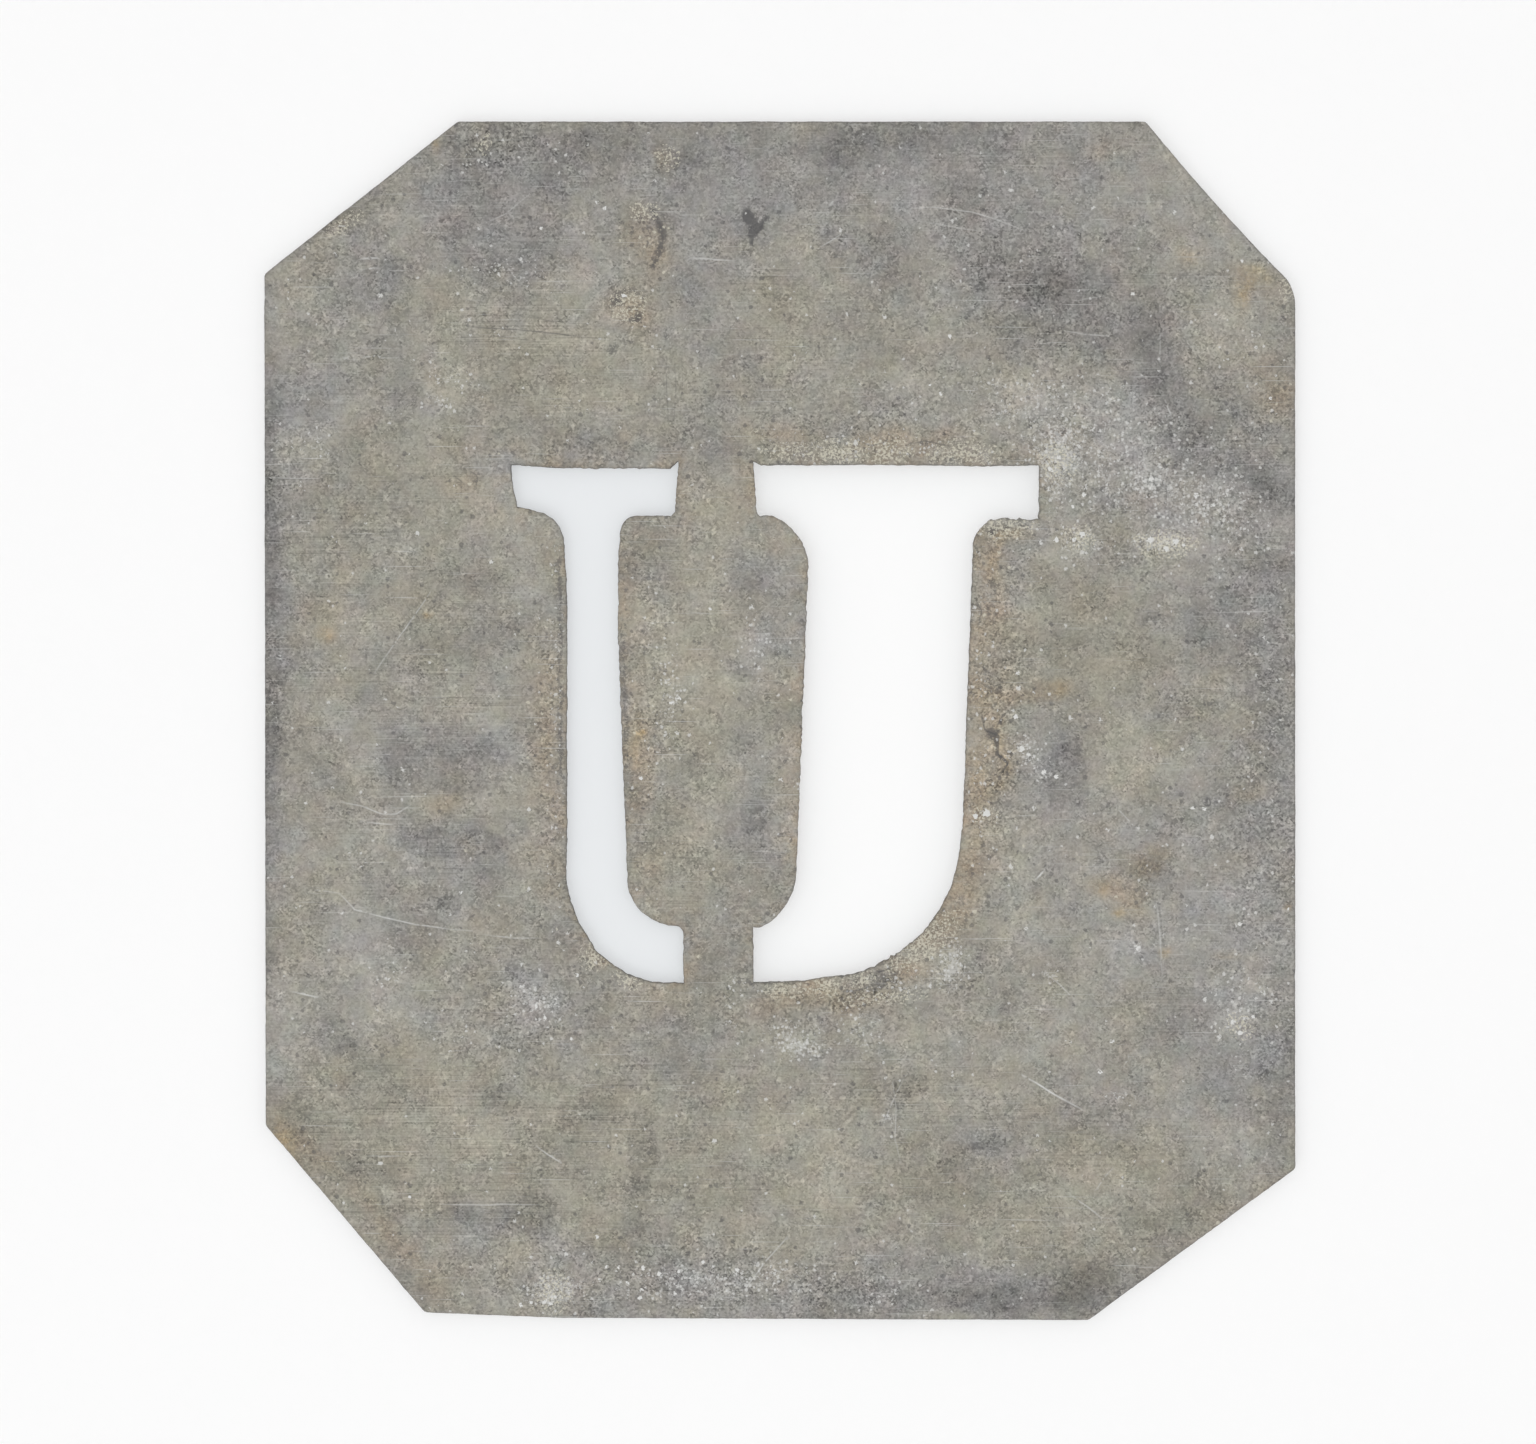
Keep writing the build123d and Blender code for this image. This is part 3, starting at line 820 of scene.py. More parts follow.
def hand_cut(loop, seed, tool):
    """The loop as shears or a chisel leave it: it wanders a little and is nicked in places."""
    coarse, fine = tool
    loop = strayed(stepped(loop))
    ragged_share = 1 + stained(in_pixels(loop), RAGGED_CUTS)
    wander = coarse * smooth_noise(loop, WANDER_CELL, seed, 2)
    ragged = fine * smooth_noise(loop, RAGGED_CELL, seed + 3, 2, 0.8)
    bites = np.clip(smooth_noise(loop, BITE_CELL, seed + 7) - BITE_LEVEL, 0, 1) * fine * BITE_GAIN
    return loop + left_normals(loop) * (wander + (ragged + bites) * ragged_share)[:, None]


# Places of the mesh

def tree_of(points):
    """A search tree of flat places."""
    tree = kdtree.KDTree(len(points))
    for i, (x, y) in enumerate(points):
        tree.insert((x, y, 0), i)
    tree.balance()
    return tree


def distances(tree, points):
    """How far each point is from the nearest place of a tree."""
    return np.array([tree.find((x, y, 0))[2] for x, y in points])


def dense(loop):
    """A loop filled in finely, to measure distances from."""
    parts = []
    for start, end in zip(loop, np.roll(loop, -1, axis=0)):
        count = max(1, math.ceil(math.dist(start, end) / EDGE_FILLING))
        parts.append(start + (end - start) * np.linspace(0, 1, count, endpoint=False)[:, None])
    return np.vstack(parts)


def inside(points, loop):
    """Which places lie inside a loop."""
    within = np.zeros(len(points), bool)
    near = np.flatnonzero((points >= loop.min(0)).all(1) & (points <= loop.max(0)).all(1))
    x, y = points[near].T
    crossed = np.zeros(len(near), bool)
    for (x0, y0), (x1, y1) in zip(loop, np.roll(loop, -1, axis=0)):
        if y0 != y1:
            crossed ^= ((y0 > y) != (y1 > y)) & (x < x0 + (y - y0) * (x1 - x0) / (y1 - y0))
    within[near] = crossed
    return within


def in_metal(places, loops):
    """Which places lie inside the outline and outside both openings."""
    outline, thin, thick = (inside(places, loop) for loop in loops)
    return outline & ~thin & ~thick


def honeycomb(step, rng):
    """Places over the whole sheet in a shaken honeycomb."""
    columns = math.ceil(SHEET_WIDTH / step)
    places = []
    for row in range(math.ceil(SHEET_HEIGHT / (step * COMB_ROW_SHARE))):
        x = (np.arange(columns) + 0.5 * (row % 2)) * step - SHEET_WIDTH / 2
        y = np.full(columns, row * step * COMB_ROW_SHARE - SHEET_HEIGHT / 2)
        places.append(np.stack([x, y], axis=-1))
    places = np.vstack(places)
    return places + rng.uniform(-COMB_SHAKE_SHARE, COMB_SHAKE_SHARE, places.shape) * step


def scratch_rows():
    """Places along each scratch, on it and on both sides, with how bright each is."""
    places, strengths = [], []
    for way, strength in SCRATCHES.values():
        middle = evenly(on_face(way), MARK_STEP, 3, True)
        middle += SCRATCH_WANDER * noise_pair(middle, 1.1, 21)
        side = left_of(np.gradient(middle, axis=0))
        run = np.linspace(SCRATCH_TAPER, math.pi - SCRATCH_TAPER, len(middle))
        fade = strength * np.sin(run) ** SCRATCH_FULLNESS
        fade *= 0.75 + 0.5 * smooth_noise(middle, 0.7, 23)
        reach = SCRATCH_WIDTH * (0.6 + 0.5 * abs(strength))
        for offset, share in ((0, 1), (reach, 0), (-reach, 0)):
            places.append(middle + side * offset)
            strengths.append(fade * share)
    return np.vstack(places), np.concatenate(strengths)


def crumb_rings(rng):
    """Places on and round each crumb, with how high each stands."""
    places, strengths = [], []
    for x, y, reach, strength in CRUMBS_AND_GLINT.values():
        centre = on_face((x, y))
        radius = CRUMB_SHARE * reach / PIXELS_PER_MM
        places.append(centre[None])
        strengths.append([strength])
        turns = np.linspace(0, 2 * math.pi, CRUMB_SIDES + 1)[:-1] + rng.uniform(0, 1)
        around = np.stack([np.cos(turns), np.sin(turns)], axis=-1)
        for share, height in CRUMB_RINGS:
            wobble = rng.uniform(*CRUMB_WOBBLE, (CRUMB_SIDES, 1))
            places.append(centre + around * radius * share * wobble)
            strengths.append(np.full(CRUMB_SIDES, strength * height))
    return np.vstack(places), np.concatenate(strengths)


def triangulated(loops, others):
    """Triangles that fill the metal between the loops, through all the other places."""
    points = np.vstack([*loops, *others])
    edges = []
    start = 0
    for loop in loops:
        ids = np.arange(start, start + len(loop))
        edges += list(zip(ids.tolist(), np.roll(ids, -1).tolist()))
        start += len(loop)
    result = geometry.delaunay_2d_cdt([tuple(p) for p in points], edges, [], 2, 1e-7)
    origin = [ids[0] if ids else -1 for ids in result[3]]
    triangles = np.array([[origin[i] for i in face] for face in result[2]])
    triangles = triangles[in_metal(points[triangles].mean(1), loops)]
    first, second, third = (points[triangles[:, i]] for i in range(3))
    one, two = second - first, third - first
    clockwise = one[:, 0] * two[:, 1] - one[:, 1] * two[:, 0] < 0
    triangles[clockwise] = triangles[clockwise][:, ::-1]
    return points, triangles


def add_object(name, data):
    """A new object in the scene."""
    piece = bpy.data.objects.new(name, data)
    bpy.context.scene.collection.objects.link(piece)
    return piece


class Relief:
    """The whole sheet as one closed mesh: its face, its walls and its back."""

    def __init__(self):
        self.rng = np.random.default_rng(41)
        outline, thin, thick = cad_outlines()
        self.loops = [hand_cut(outline, 5, SHEARS), hand_cut(thin, 6, CHISEL), hand_cut(thick, 7, CHISEL)]
        self.normals = [left_normals(loop) for loop in self.loops]
        self.outline_tree = tree_of(dense(self.loops[0]))
        self.cut_tree = tree_of(np.vstack([dense(loop) for loop in self.loops[1:]]))
        self.points = []
        self.triangles = []
        self.values = []
        self.make_face()
        self.make_back()
        self.make_walls()

    def nearest_edge(self, places):
        """How far places are from the outline or a cut, whichever is nearer."""
        return np.minimum(distances(self.outline_tree, places), distances(self.cut_tree, places))

    def to_edges(self, points):
        """How far points that begin with the loops are from the outline and from the cuts."""
        outline = distances(self.outline_tree, points)
        cuts = distances(self.cut_tree, points)
        first, *openings = [len(loop) for loop in self.loops]
        outline[:first] = 0
        cuts[first:first + sum(openings)] = 0
        return outline, cuts

    def rings(self, depths, every=1):
        """Rows of places in the metal along each loop."""
        rings = []
        for depth in depths:
            for loop, normals in zip(self.loops, self.normals):
                places = (loop + normals * depth)[::every]
                rings.append(places[self.nearest_edge(places) > depth * RING_KEPT_SHARE])
        return rings

    def comb(self, step, clear):
        """A honeycomb that fills the metal, clear of its edges."""
        places = honeycomb(step, self.rng)
        places = places[in_metal(places, self.loops)]
        return places[self.nearest_edge(places) > clear]

    def make_face(self):
        """The front: fine rings along every edge, then scratches, crumbs and a honeycomb between them."""
        scratches, scratched = scratch_rows()
        crumbs, heights = crumb_rings(self.rng)
        features = np.vstack([scratches, crumbs])
        marks = np.zeros((len(features), 2))
        marks[:len(scratches), 0] = scratched
        marks[len(scratches):, 1] = heights
        clear = self.nearest_edge(features) > MARKS_CLEAR
        features, marks = features[clear], marks[clear]
        comb = self.comb(FACE_STEP, COMB_CLEAR)
        comb = comb[distances(tree_of(features), comb) > COMB_CLEAR_OF_MARKS]
        points, triangles = triangulated(self.loops, [*self.rings(RING_DEPTHS), features, comb])
        before = np.zeros((len(points) - len(features) - len(comb), 2))
        marks = np.vstack([before, marks, np.zeros((len(comb), 2))])
        outline, cuts = self.to_edges(points)
        values = painted(points, outline, cuts)
        values["scratch"], values["crumb"] = marks.T
        self.add(points, face_height(points, outline, cuts, values), triangles, values)

    def make_back(self):
        """The back: coarser rings and a coarser honeycomb, and a gentle wave."""
        comb = self.comb(BACK_STEP, BACK_COMB_CLEAR)
        points, triangles = triangulated(self.loops, [*self.rings(BACK_RING_DEPTHS, 2), comb])
        outline, cuts = self.to_edges(points)
        lift = BACK_RISE * (0.5 + 0.5 * smooth_noise(points, 6.0, 31, 3))
        height = np.clip(lift, 0, None) + rounded_off(np.minimum(outline, cuts), BACK_ROUNDING)
        self.add(points, height, triangles[:, ::-1], back_painted(points, outline, cuts))

    def make_walls(self):
        """Walls from the face's border down to the back's, marked by the blade."""
        start = 0
        for loop, normals in zip(self.loops, self.normals):
            top = np.arange(start, start + len(loop))
            high, low = (points[top, 2] for points in self.points[:2])
            rows = [top]
            for share in WALL_SHARES[1:-1]:
                height = high + (low - high) * share
                sampled = np.column_stack([np.arange(len(loop)) * EDGE_STEP, height * 0.6])
                push = WALL_ROUGHNESS * smooth_noise(sampled, 0.35, 51, 2)
                push -= WALL_HOLLOW * math.sin(math.pi * share)
                rows.append(self.add_points(loop - normals * push[:, None], height, wall_painted(loop)))
            rows.append(top + len(self.points[0]))
            for upper, lower in zip(rows[:-1], rows[1:]):
                ahead_upper, ahead_lower = np.roll(upper, -1), np.roll(lower, -1)
                self.triangles.append(np.column_stack([upper, lower, ahead_lower]))
                self.triangles.append(np.column_stack([upper, ahead_lower, ahead_upper]))
            start += len(loop)

    def add_points(self, places, height, values):
        """Puts points into the mesh with their named values, and says their numbers."""
        first = sum(len(p) for p in self.points)
        self.points.append(np.column_stack([places, height]))
        self.values.append(values)
        return np.arange(first, first + len(places))

    def add(self, places, height, triangles, values):
        """Puts one side of the sheet into the mesh."""
        ids = self.add_points(places, height, values)
        self.triangles.append(triangles + ids[0])

    def build(self, name):
        """The object, with its named values for the material and its layout for baking."""
        points = np.vstack(self.points)
        triangles = np.vstack(self.triangles)
        mesh = bpy.data.meshes.new(name)
        mesh.from_pydata((points * MM).tolist(), [], triangles.tolist())
        for key in MARK_NAMES:
            column = np.concatenate([values[key] for values in self.values]).astype(np.float32)
            mesh.attributes.new(key, "FLOAT", "POINT").data.foreach_set("value", column)
        mesh.polygons.foreach_set("use_smooth", np.ones(len(mesh.polygons), bool))
        self.unwrap(mesh, points[triangles.ravel()])
        mesh.validate()
        mesh.update()
        return add_object(name, mesh)

    def unwrap(self, mesh, corners):
        """Lays the face out large, the back smaller beside it, and the walls in strips below."""
        flat = np.zeros((len(corners), 2))
        x = corners[:, 0] + SHEET_WIDTH / 2
        down = SHEET_HEIGHT / 2 - corners[:, 1]
        on_back = 3 * len(self.triangles[0])
        done = on_back + 3 * len(self.triangles[1])
        flat[:, 0] = BAKE_LEFT + x * FACE_BAKE_SCALE
        flat[:, 1] = BAKE_TOP - down * FACE_BAKE_SCALE
        flat[on_back:, 0] = BAKE_RIGHT - x[on_back:] * BACK_BAKE_SCALE
        flat[on_back:, 1] = BAKE_TOP - down[on_back:] * BACK_BAKE_SCALE
        for strip, loop in enumerate(self.loops):
            marks = np.arange(len(loop) + 1) / len(loop) * STRIP_LENGTH + STRIPS_LEFT
            left, right = marks[:-1], marks[1:]
            for row in reversed(range(WALL_LEVELS)):
                low = np.full(len(loop), STRIPS_BOTTOM + strip * STRIP_PITCH + row * STRIP_ROW)
                high = low + STRIP_ROW
                for corner in ((left, high, left, low, right, low), (left, high, right, low, right, high)):
                    flat[done:done + 3 * len(loop)] = np.stack(corner, axis=-1).reshape(-1, 2)
                    done += 3 * len(loop)
        layer = mesh.uv_layers.new(name="OFBake")
        layer.data.foreach_set("uv", flat.astype(np.float32).ravel())


# Paint and height: named values at each vertex, read by the material

# How far noise pushes the marks about, in pixels
SOFT_PUSH = (14, 5)
CRISP_PUSH = 3
FILM_PUSH = 4

# How far the marks beside edges and cuts reach, in millimetres: the rim, painted shade along every edge, and
# the crust by the cuts
EDGE_SHADE_REACH = 0.09
CRUST_REACH = 0.9

# The named values, and those that are the same all over a wall and not 0; on the walls the rim is painted
# shade
MARK_NAMES = ("shade", "cool", "brown", "rust", "grit", "bloom", "dark", "rolled", "cream", "film", "rim",
              "crust", "scratch", "crumb")
WALL_MARKS = {"dark": 0.25, "rim": 0.35, "grit": -0.4, "film": -1.0}


def beside_edges(outline, cuts):
    """The values that fade away from the edges and from the cuts: the rim, painted shade along every edge,
    and the crust beside the cuts.
    """
    return {"rim": np.exp(-np.minimum(outline, cuts) / EDGE_SHADE_REACH), "crust": np.exp(-cuts / CRUST_REACH)}


def painted(points, outline, cuts):
    """The values of the face: listed stains, broken up by noise."""
    pixels = in_pixels(points)
    small = noise_pair(points, 1.3, 63, 2)
    soft = pixels + noise_pair(points, 5.0, 61, 3) * SOFT_PUSH[0] + small * SOFT_PUSH[1]
    crisp = pixels + small * CRISP_PUSH
    return {
        "shade": stained(soft, SHADE_STAINS, SHADE_RUNS),
        "cool": stained(soft, COOL_STAINS, COOL_RUNS) - stained(soft, OLIVE_STAINS),
        "brown": stained(soft, BROWN_STAINS),
        "rust": stained(crisp, RUST_STAINS, RUST_RUNS),
        "grit": stained(soft, GRIT_STAINS),
        "bloom": stained(crisp, BLOOM_STAINS),
        "dark": stained(crisp, DARK_STAINS, DARK_RUNS),
        "rolled": stained(soft, ROLLED_STAINS),
        "cream": stained(crisp, CREAM_STAINS),
        "film": filmed_at(pixels + small * FILM_PUSH),
        **beside_edges(outline, cuts),
    }


def back_painted(points, outline, cuts):
    """The values of the back, which the photograph doesn't show: the same kinds of stain, all from noise."""
    still = np.zeros(len(points))
    return {
        "shade": -0.5 + 0.7 * smooth_noise(points, 9.0, 71, 3),
        "cool": 0.5 + 0.8 * smooth_noise(points, 12.0, 72, 3),
        "brown": np.clip(smooth_noise(points, 7.0, 73, 3) - 0.1, 0, 1) + 0.4 * np.exp(-cuts / 1.0),
        "rust": np.clip(smooth_noise(points, 4.0, 74, 3) - 0.3, 0, 1),
        "grit": 0.4 + 0.4 * smooth_noise(points, 8.0, 75),
        "bloom": np.clip(smooth_noise(points, 6.0, 76, 3) - 0.1, 0, 1),
        "dark": np.clip(smooth_noise(points, 3.0, 77, 3) - 0.45, 0, 1) * 2,
        "rolled": 0.6 * smooth_noise(points, 12.0, 78, 2),
        "film": smooth_noise(points, 10.0, 79, 2) - 0.3,
        "cream": still,
        "scratch": still,
        "crumb": still,
        **beside_edges(outline, cuts),
    }


def wall_painted(loop):
    """The values of one level of a wall."""
    values = {name: np.full(len(loop), WALL_MARKS.get(name, 0.0)) for name in MARK_NAMES}
    values["shade"] = -0.9 + 0.5 * smooth_noise(loop, 2.0, 81, 2)
    values["brown"] = np.clip(0.3 + 0.5 * smooth_noise(loop, 3.0, 82, 2), 0, 1)
    return values


def rounded_off(distance, radius):
    """How far a rounded edge has fallen at a distance from it."""
    return radius * (1 - np.sqrt(1 - np.clip(1 - distance / radius, 0, 1) ** 2))


def face_height(points, outline, cuts, values):
    """The height of the face: waves, rounded edges, burrs, pits, scratches and crumbs."""
    height = THICKNESS - FACE_BELOW_TOP + FACE_WAVE * smooth_noise(points, 14.0, 91, 2)
    height += FACE_GRAIN * smooth_noise(points, 0.9, 92, 3, 0.8)
    height -= rounded_off(outline, OUTLINE_ROUNDING)
    height -= rounded_off(cuts, CUT_ROUNDING)
    burr = np.clip(smooth_noise(points, 2.4, 93, 2) + 0.1, 0, 1)
    height += BURR_HEIGHT * burr * np.exp(-((cuts - BURR_PLACE) / BURR_WIDTH) ** 2)
    height -= PIT_DEPTH * np.clip(values["dark"], 0, 1)
    height += CRUMB_HEIGHT * values["crumb"] - SCRATCH_DEPTH * np.abs(values["scratch"])
    height += CRUST_LIFT * np.clip(values["rust"] + values["brown"], 0, 1) * smooth_noise(points, 0.7, 94, 2)
    return np.clip(height, 0, THICKNESS)


# Materials

# Which inputs of a Mix node take values and colours, and which output gives the mixed colour
MIX_VALUES = (2, 3)
MIX_COLOURS = (6, 7)
MIX_RESULT = 2


class Signal:
    """A value that varies over a surface. Each plus, minus or times between signals makes one node."""

    def __init__(self, net, socket):
        self.net = net
        self.socket = socket

    def __add__(self, other):
        return self.net.math("ADD", self, other)

    def __sub__(self, other):
        return self.net.math("SUBTRACT", self, other)

    def __rsub__(self, other):
        return self.net.math("SUBTRACT", other, self)

    def __mul__(self, other):
        return self.net.math("MULTIPLY", self, other)

    __radd__ = __add__
    __rmul__ = __mul__

    def scaled(self, gain, level):
        """The value times a gain, plus a level."""
        return self.net.math("MULTIPLY_ADD", self, gain, level)

    def spread(self, gain):
        """Noise about its middle, times a gain."""
        return (self - 0.5) * gain

    def clamped(self):
        """The same value, kept between 0 and 1 by the node that it comes from."""
        self.socket.node.use_clamp = True
        return self

    def within(self, low, high):
        """The value, kept between two limits."""
        return self.net.math("MINIMUM", self.net.math("MAXIMUM", self, low), high)

    def above(self, level, width):
        """0 up to a level, and from there up to 1 over a width."""
        return self.net.math("DIVIDE", self - level, width).clamped()

    def below(self, level, width):
        """0 down to a level, and from there up to 1 over a width."""
        return self.net.math("DIVIDE", level - self, width).clamped()

    def where(self, mark, level):
        """The value, between 0 and 1, only where a mark is stronger than a level."""
        return (self * self.net.math("GREATER_THAN", mark, level)).clamped()


class Nodes:
    """The node tree of a material or a world, built by short calls."""

    def __init__(self, owner):
        self.owner = owner
        owner.use_nodes = True
        self.tree = owner.node_tree
        self.tree.nodes.clear()

    def add(self, kind, inputs=(), **settings):
        """A node with its settings, and with its inputs set or linked."""
        node = self.tree.nodes.new(kind)
        for key, value in settings.items():
            setattr(node, key, value)
        for key, value in dict(inputs).items():
            value = value.socket if isinstance(value, Signal) else value
            if isinstance(value, bpy.types.NodeSocket):
                self.tree.links.new(value, node.inputs[key])
            else:
                node.inputs[key].default_value = value
        return node

    def math(self, operation, first, second=0.0, third=0.0):
        """One step of arithmetic, with values or numbers."""
        node = self.add("ShaderNodeMath", {0: first, 1: second, 2: third}, operation=operation)
        return Signal(self, node.outputs[0])

    def mark(self, name):
        """One of the named values that the mesh holds."""
        return Signal(self, self.add("ShaderNodeAttribute", attribute_name=name).outputs["Fac"])

    def place(self, scale=(1, 1, 1), shift=(0, 0, 0), turn=0.0):
        """Places on the piece in millimetres, stretched and shifted."""
        mapping = self.add("ShaderNodeMapping", {
            "Vector": self.add("ShaderNodeTexCoord").outputs["Object"],
            "Scale": [share / MM for share in scale],
            "Location": shift,
            "Rotation": (0, 0, turn),
        })
        return mapping.outputs[0]

    def noise_node(self, vector, cell, detail, gain=0.5):
        """Noise with features about one cell wide."""
        inputs = {"Vector": vector, "Scale": 1 / cell, "Detail": detail, "Roughness": gain}
        return self.add("ShaderNodeTexNoise", inputs, noise_dimensions="3D", normalize=True)

    def noise(self, vector, cell, detail, gain=0.5):
        """The value of that noise, 0.5 in the middle."""
        return Signal(self, self.noise_node(vector, cell, detail, gain).outputs["Fac"])

    def cell_node(self, vector, cell, feature):
        """Uneven cells, each about one cell wide."""
        inputs = {"Vector": vector, "Scale": 1 / cell}
        return self.add("ShaderNodeTexVoronoi", inputs, voronoi_dimensions="2D", feature=feature)

    def cells(self, vector, cell):
        """How far a place is from the middle of its cell, and two values that each cell draws."""
        node = self.cell_node(vector, cell, "F1")
        drawn = self.add("ShaderNodeSeparateColor", {0: node.outputs["Color"]})
        return [Signal(self, socket) for socket in (node.outputs["Distance"], *drawn.outputs[:2])]

    def cracks(self, vector, cell):
        """How far a place is from the nearest border between cells, in cells."""
        return Signal(self, self.cell_node(vector, cell, "DISTANCE_TO_EDGE").outputs["Distance"])

    def mix(self, share, first, second, blend="MIX"):
        """The first colour with a share of the second over it."""
        inputs = {0: share, MIX_COLOURS[0]: first, MIX_COLOURS[1]: second}
        node = self.add("ShaderNodeMix", inputs, data_type="RGBA", blend_type=blend)
        return node.outputs[MIX_RESULT]

    def lit(self, colour, gain):
        """A colour made brighter or darker by a gain."""
        return self.add("ShaderNodeVectorMath", {0: colour, "Scale": gain}, operation="SCALE").outputs[0]

    def tint(self, warmth, greenness):
        """A colour near white that leans warm or cold, and green or pink, with two noises."""
        warm = warmth.spread(0.14)
        green = greenness.spread(0.07)
        pink = green * -0.5
        parts = {0: 1.0 + warm + pink, 1: green + 1.0, 2: 1.0 + warm * -1.0 + pink}
        return self.add("ShaderNodeCombineColor", parts).outputs[0]

    def shaken(self, vector, cell, reach):
        """Places pushed about by noise, so that round dots come out ragged."""
        push = self.noise_node(vector, cell, 1.0).outputs["Color"]
        inputs = {0: push, 1: (reach, reach, 0), 2: vector}
        return self.add("ShaderNodeVectorMath", inputs, operation="MULTIPLY_ADD").outputs[0]

    def specks(self, vector, cell, density, size, edge):
        """Small dots: one in some of the cells, as many as the density says."""
        distance, chance, girth = self.cells(vector, cell)
        dot = self.math("DIVIDE", girth.scaled(size, size * 0.5) - distance, edge).clamped()
        return dot * self.math("LESS_THAN", chance, density)


OLIVE = (0.322, 0.304, 0.252, 1)
SLATE = (0.3, 0.29, 0.275, 1)
BROWN = (0.34, 0.285, 0.215, 1)
RUST = (0.39, 0.295, 0.17, 1)
UMBER = (0.17, 0.135, 0.105, 1)
TAN = (0.46, 0.41, 0.31, 1)
# dark colour of soot, dark dots and cracks, and of the painted shade along the edges and beside a fibre
SOOT_AND_SHADE = (0.085, 0.083, 0.085, 1)
CHALK = (0.7, 0.7, 0.68, 1)
CREAM = (0.64, 0.61, 0.5, 1)
BARE = (0.66, 0.66, 0.64, 1)


def zinc_noises(net):
    """The places and noises that several layers of the zinc share."""
    place = net.place()
    far = net.place(shift=(31, -17, 5))
    return {
        "place": place,
        "far": far,
        "broad": net.noise(place, 9.0, 2.0, 0.9),
        "middle": net.noise(far, 1.5, 1.0, 0.9),
        "fine": net.noise(place, 0.36, 2.0, 1.0),
        "hue": net.noise(far, 5.0, 3.0, 0.75),
        "breakup": net.noise(far, 0.7, 3.0, 0.8),
        "ragged": net.noise(place, 0.22, 1.0, 0.8),
        "smudge": net.noise(net.place(scale=(0.6, 1.25, 1), shift=(-23, 12, 0)), 1.0, 4.0, 0.8),
        "zone": net.noise(net.place(shift=(5, 44, 2)), 3.4, 2.0, 0.8),
        "knots": net.noise(net.place(shift=(-61, 4, 1)), 0.8, 1.0, 0.8),
        "edging": net.noise(place, 2.6, 3.0, 0.8),
    }


def crustiness(marks, noises):
    """Where brown crust has grown: beside the cuts, and on the listed brown stains."""
    beside = (marks["crust"] * noises["edging"].scaled(3.4, -1.45)).clamped()
    both = (beside + marks["brown"] * 1.1).clamped()
    return (both * noises["breakup"].scaled(2.6, -0.35).clamped()).clamped()


def grain(net, marks, noises, crusty):
    """Salt-and-pepper grain that is calm in some places and coarse in others."""
    salt = net.cells(net.place(shift=(3, 71, 0)), 0.13)[1]
    sand = net.cells(net.shaken(noises["far"], 0.3, 0.2), 0.25)[2]
    pepper = net.cells(net.shaken(net.place(shift=(57, 1, 0)), 0.3, 0.3), 0.42)[1]
    mixed = salt.spread(0.56) + sand.spread(0.09) + pepper.spread(0.03)
    mixed = mixed + net.math("POWER", sand, 6.0) * 0.24 - 0.034 + noises["fine"].spread(0.42)
    strength = marks["grit"].scaled(0.75, 0.8) + noises["zone"].spread(1.8) + noises["knots"].spread(1.9)
    return mixed * net.math("MAXIMUM", strength + crusty * 0.1, 0.5)


def rolled_lines(net, marks):
    """Fine level lines left by the mill and by rubbing, dark and light, strongest in some places."""
    lines = net.noise(net.place(scale=(0.11, 8.5, 1), shift=(3, 8, 0), turn=0.012), 1.0, 1.5, 0.7)
    patches = net.noise(net.place(scale=(0.5, 1.4, 1), shift=(8, 9, 3)), 5.0, 2.0).spread(3.2)
    both = lines.above(0.56, 0.12) * 0.2 - lines.below(0.43, 0.12) * 0.2
    return both * (patches + marks["rolled"] * 0.8 + 0.18).within(0.0, 1.2)


def smudges(noises):
    """Thin dark smears and pale films between them."""
    both = noises["smudge"].above(0.6, 0.12) * 0.15 - noises["smudge"].below(0.4, 0.12) * 0.18
    return both * (noises["zone"].spread(5.0) + 0.8).within(0.15, 1.8)


def oxide(net, marks, noises, crusty):
    """Khaki and slate oxide with its stains, films with a crisp border, smears, lines and grain."""
    breakup = noises["breakup"]
    film = (marks["film"] * 11.0 + breakup.spread(3.0)).clamped()
    uneven = breakup.spread(1.4) + noises["smudge"].spread(2.6) + 1.0
    gain = 1.008 + marks["shade"] * uneven * 0.34 + film * -0.16
    gain += noises["broad"].spread(0.85)
    gain += noises["middle"].spread(0.38)
    for layer in (smudges(noises), rolled_lines(net, marks), grain(net, marks, noises, crusty)):
        gain += layer
    coolness = marks["cool"].scaled(0.85, 0.36) + noises["hue"].spread(2.2) + breakup.spread(0.3)
    colour = net.mix((coolness + film * 0.12).clamped(), OLIVE, SLATE)
    colour = net.mix(crusty, colour, BROWN)
    colour = net.mix((marks["rust"] * breakup.scaled(2.6, -0.35)).clamped(), colour, RUST)
    warmth = net.noise(noises["place"], 2.6, 1.5, 0.8)
    greenness = net.noise(noises["far"], 1.9, 1.0, 0.8)
    return net.mix(1.0, net.lit(colour, gain), net.tint(warmth, greenness), "MULTIPLY")


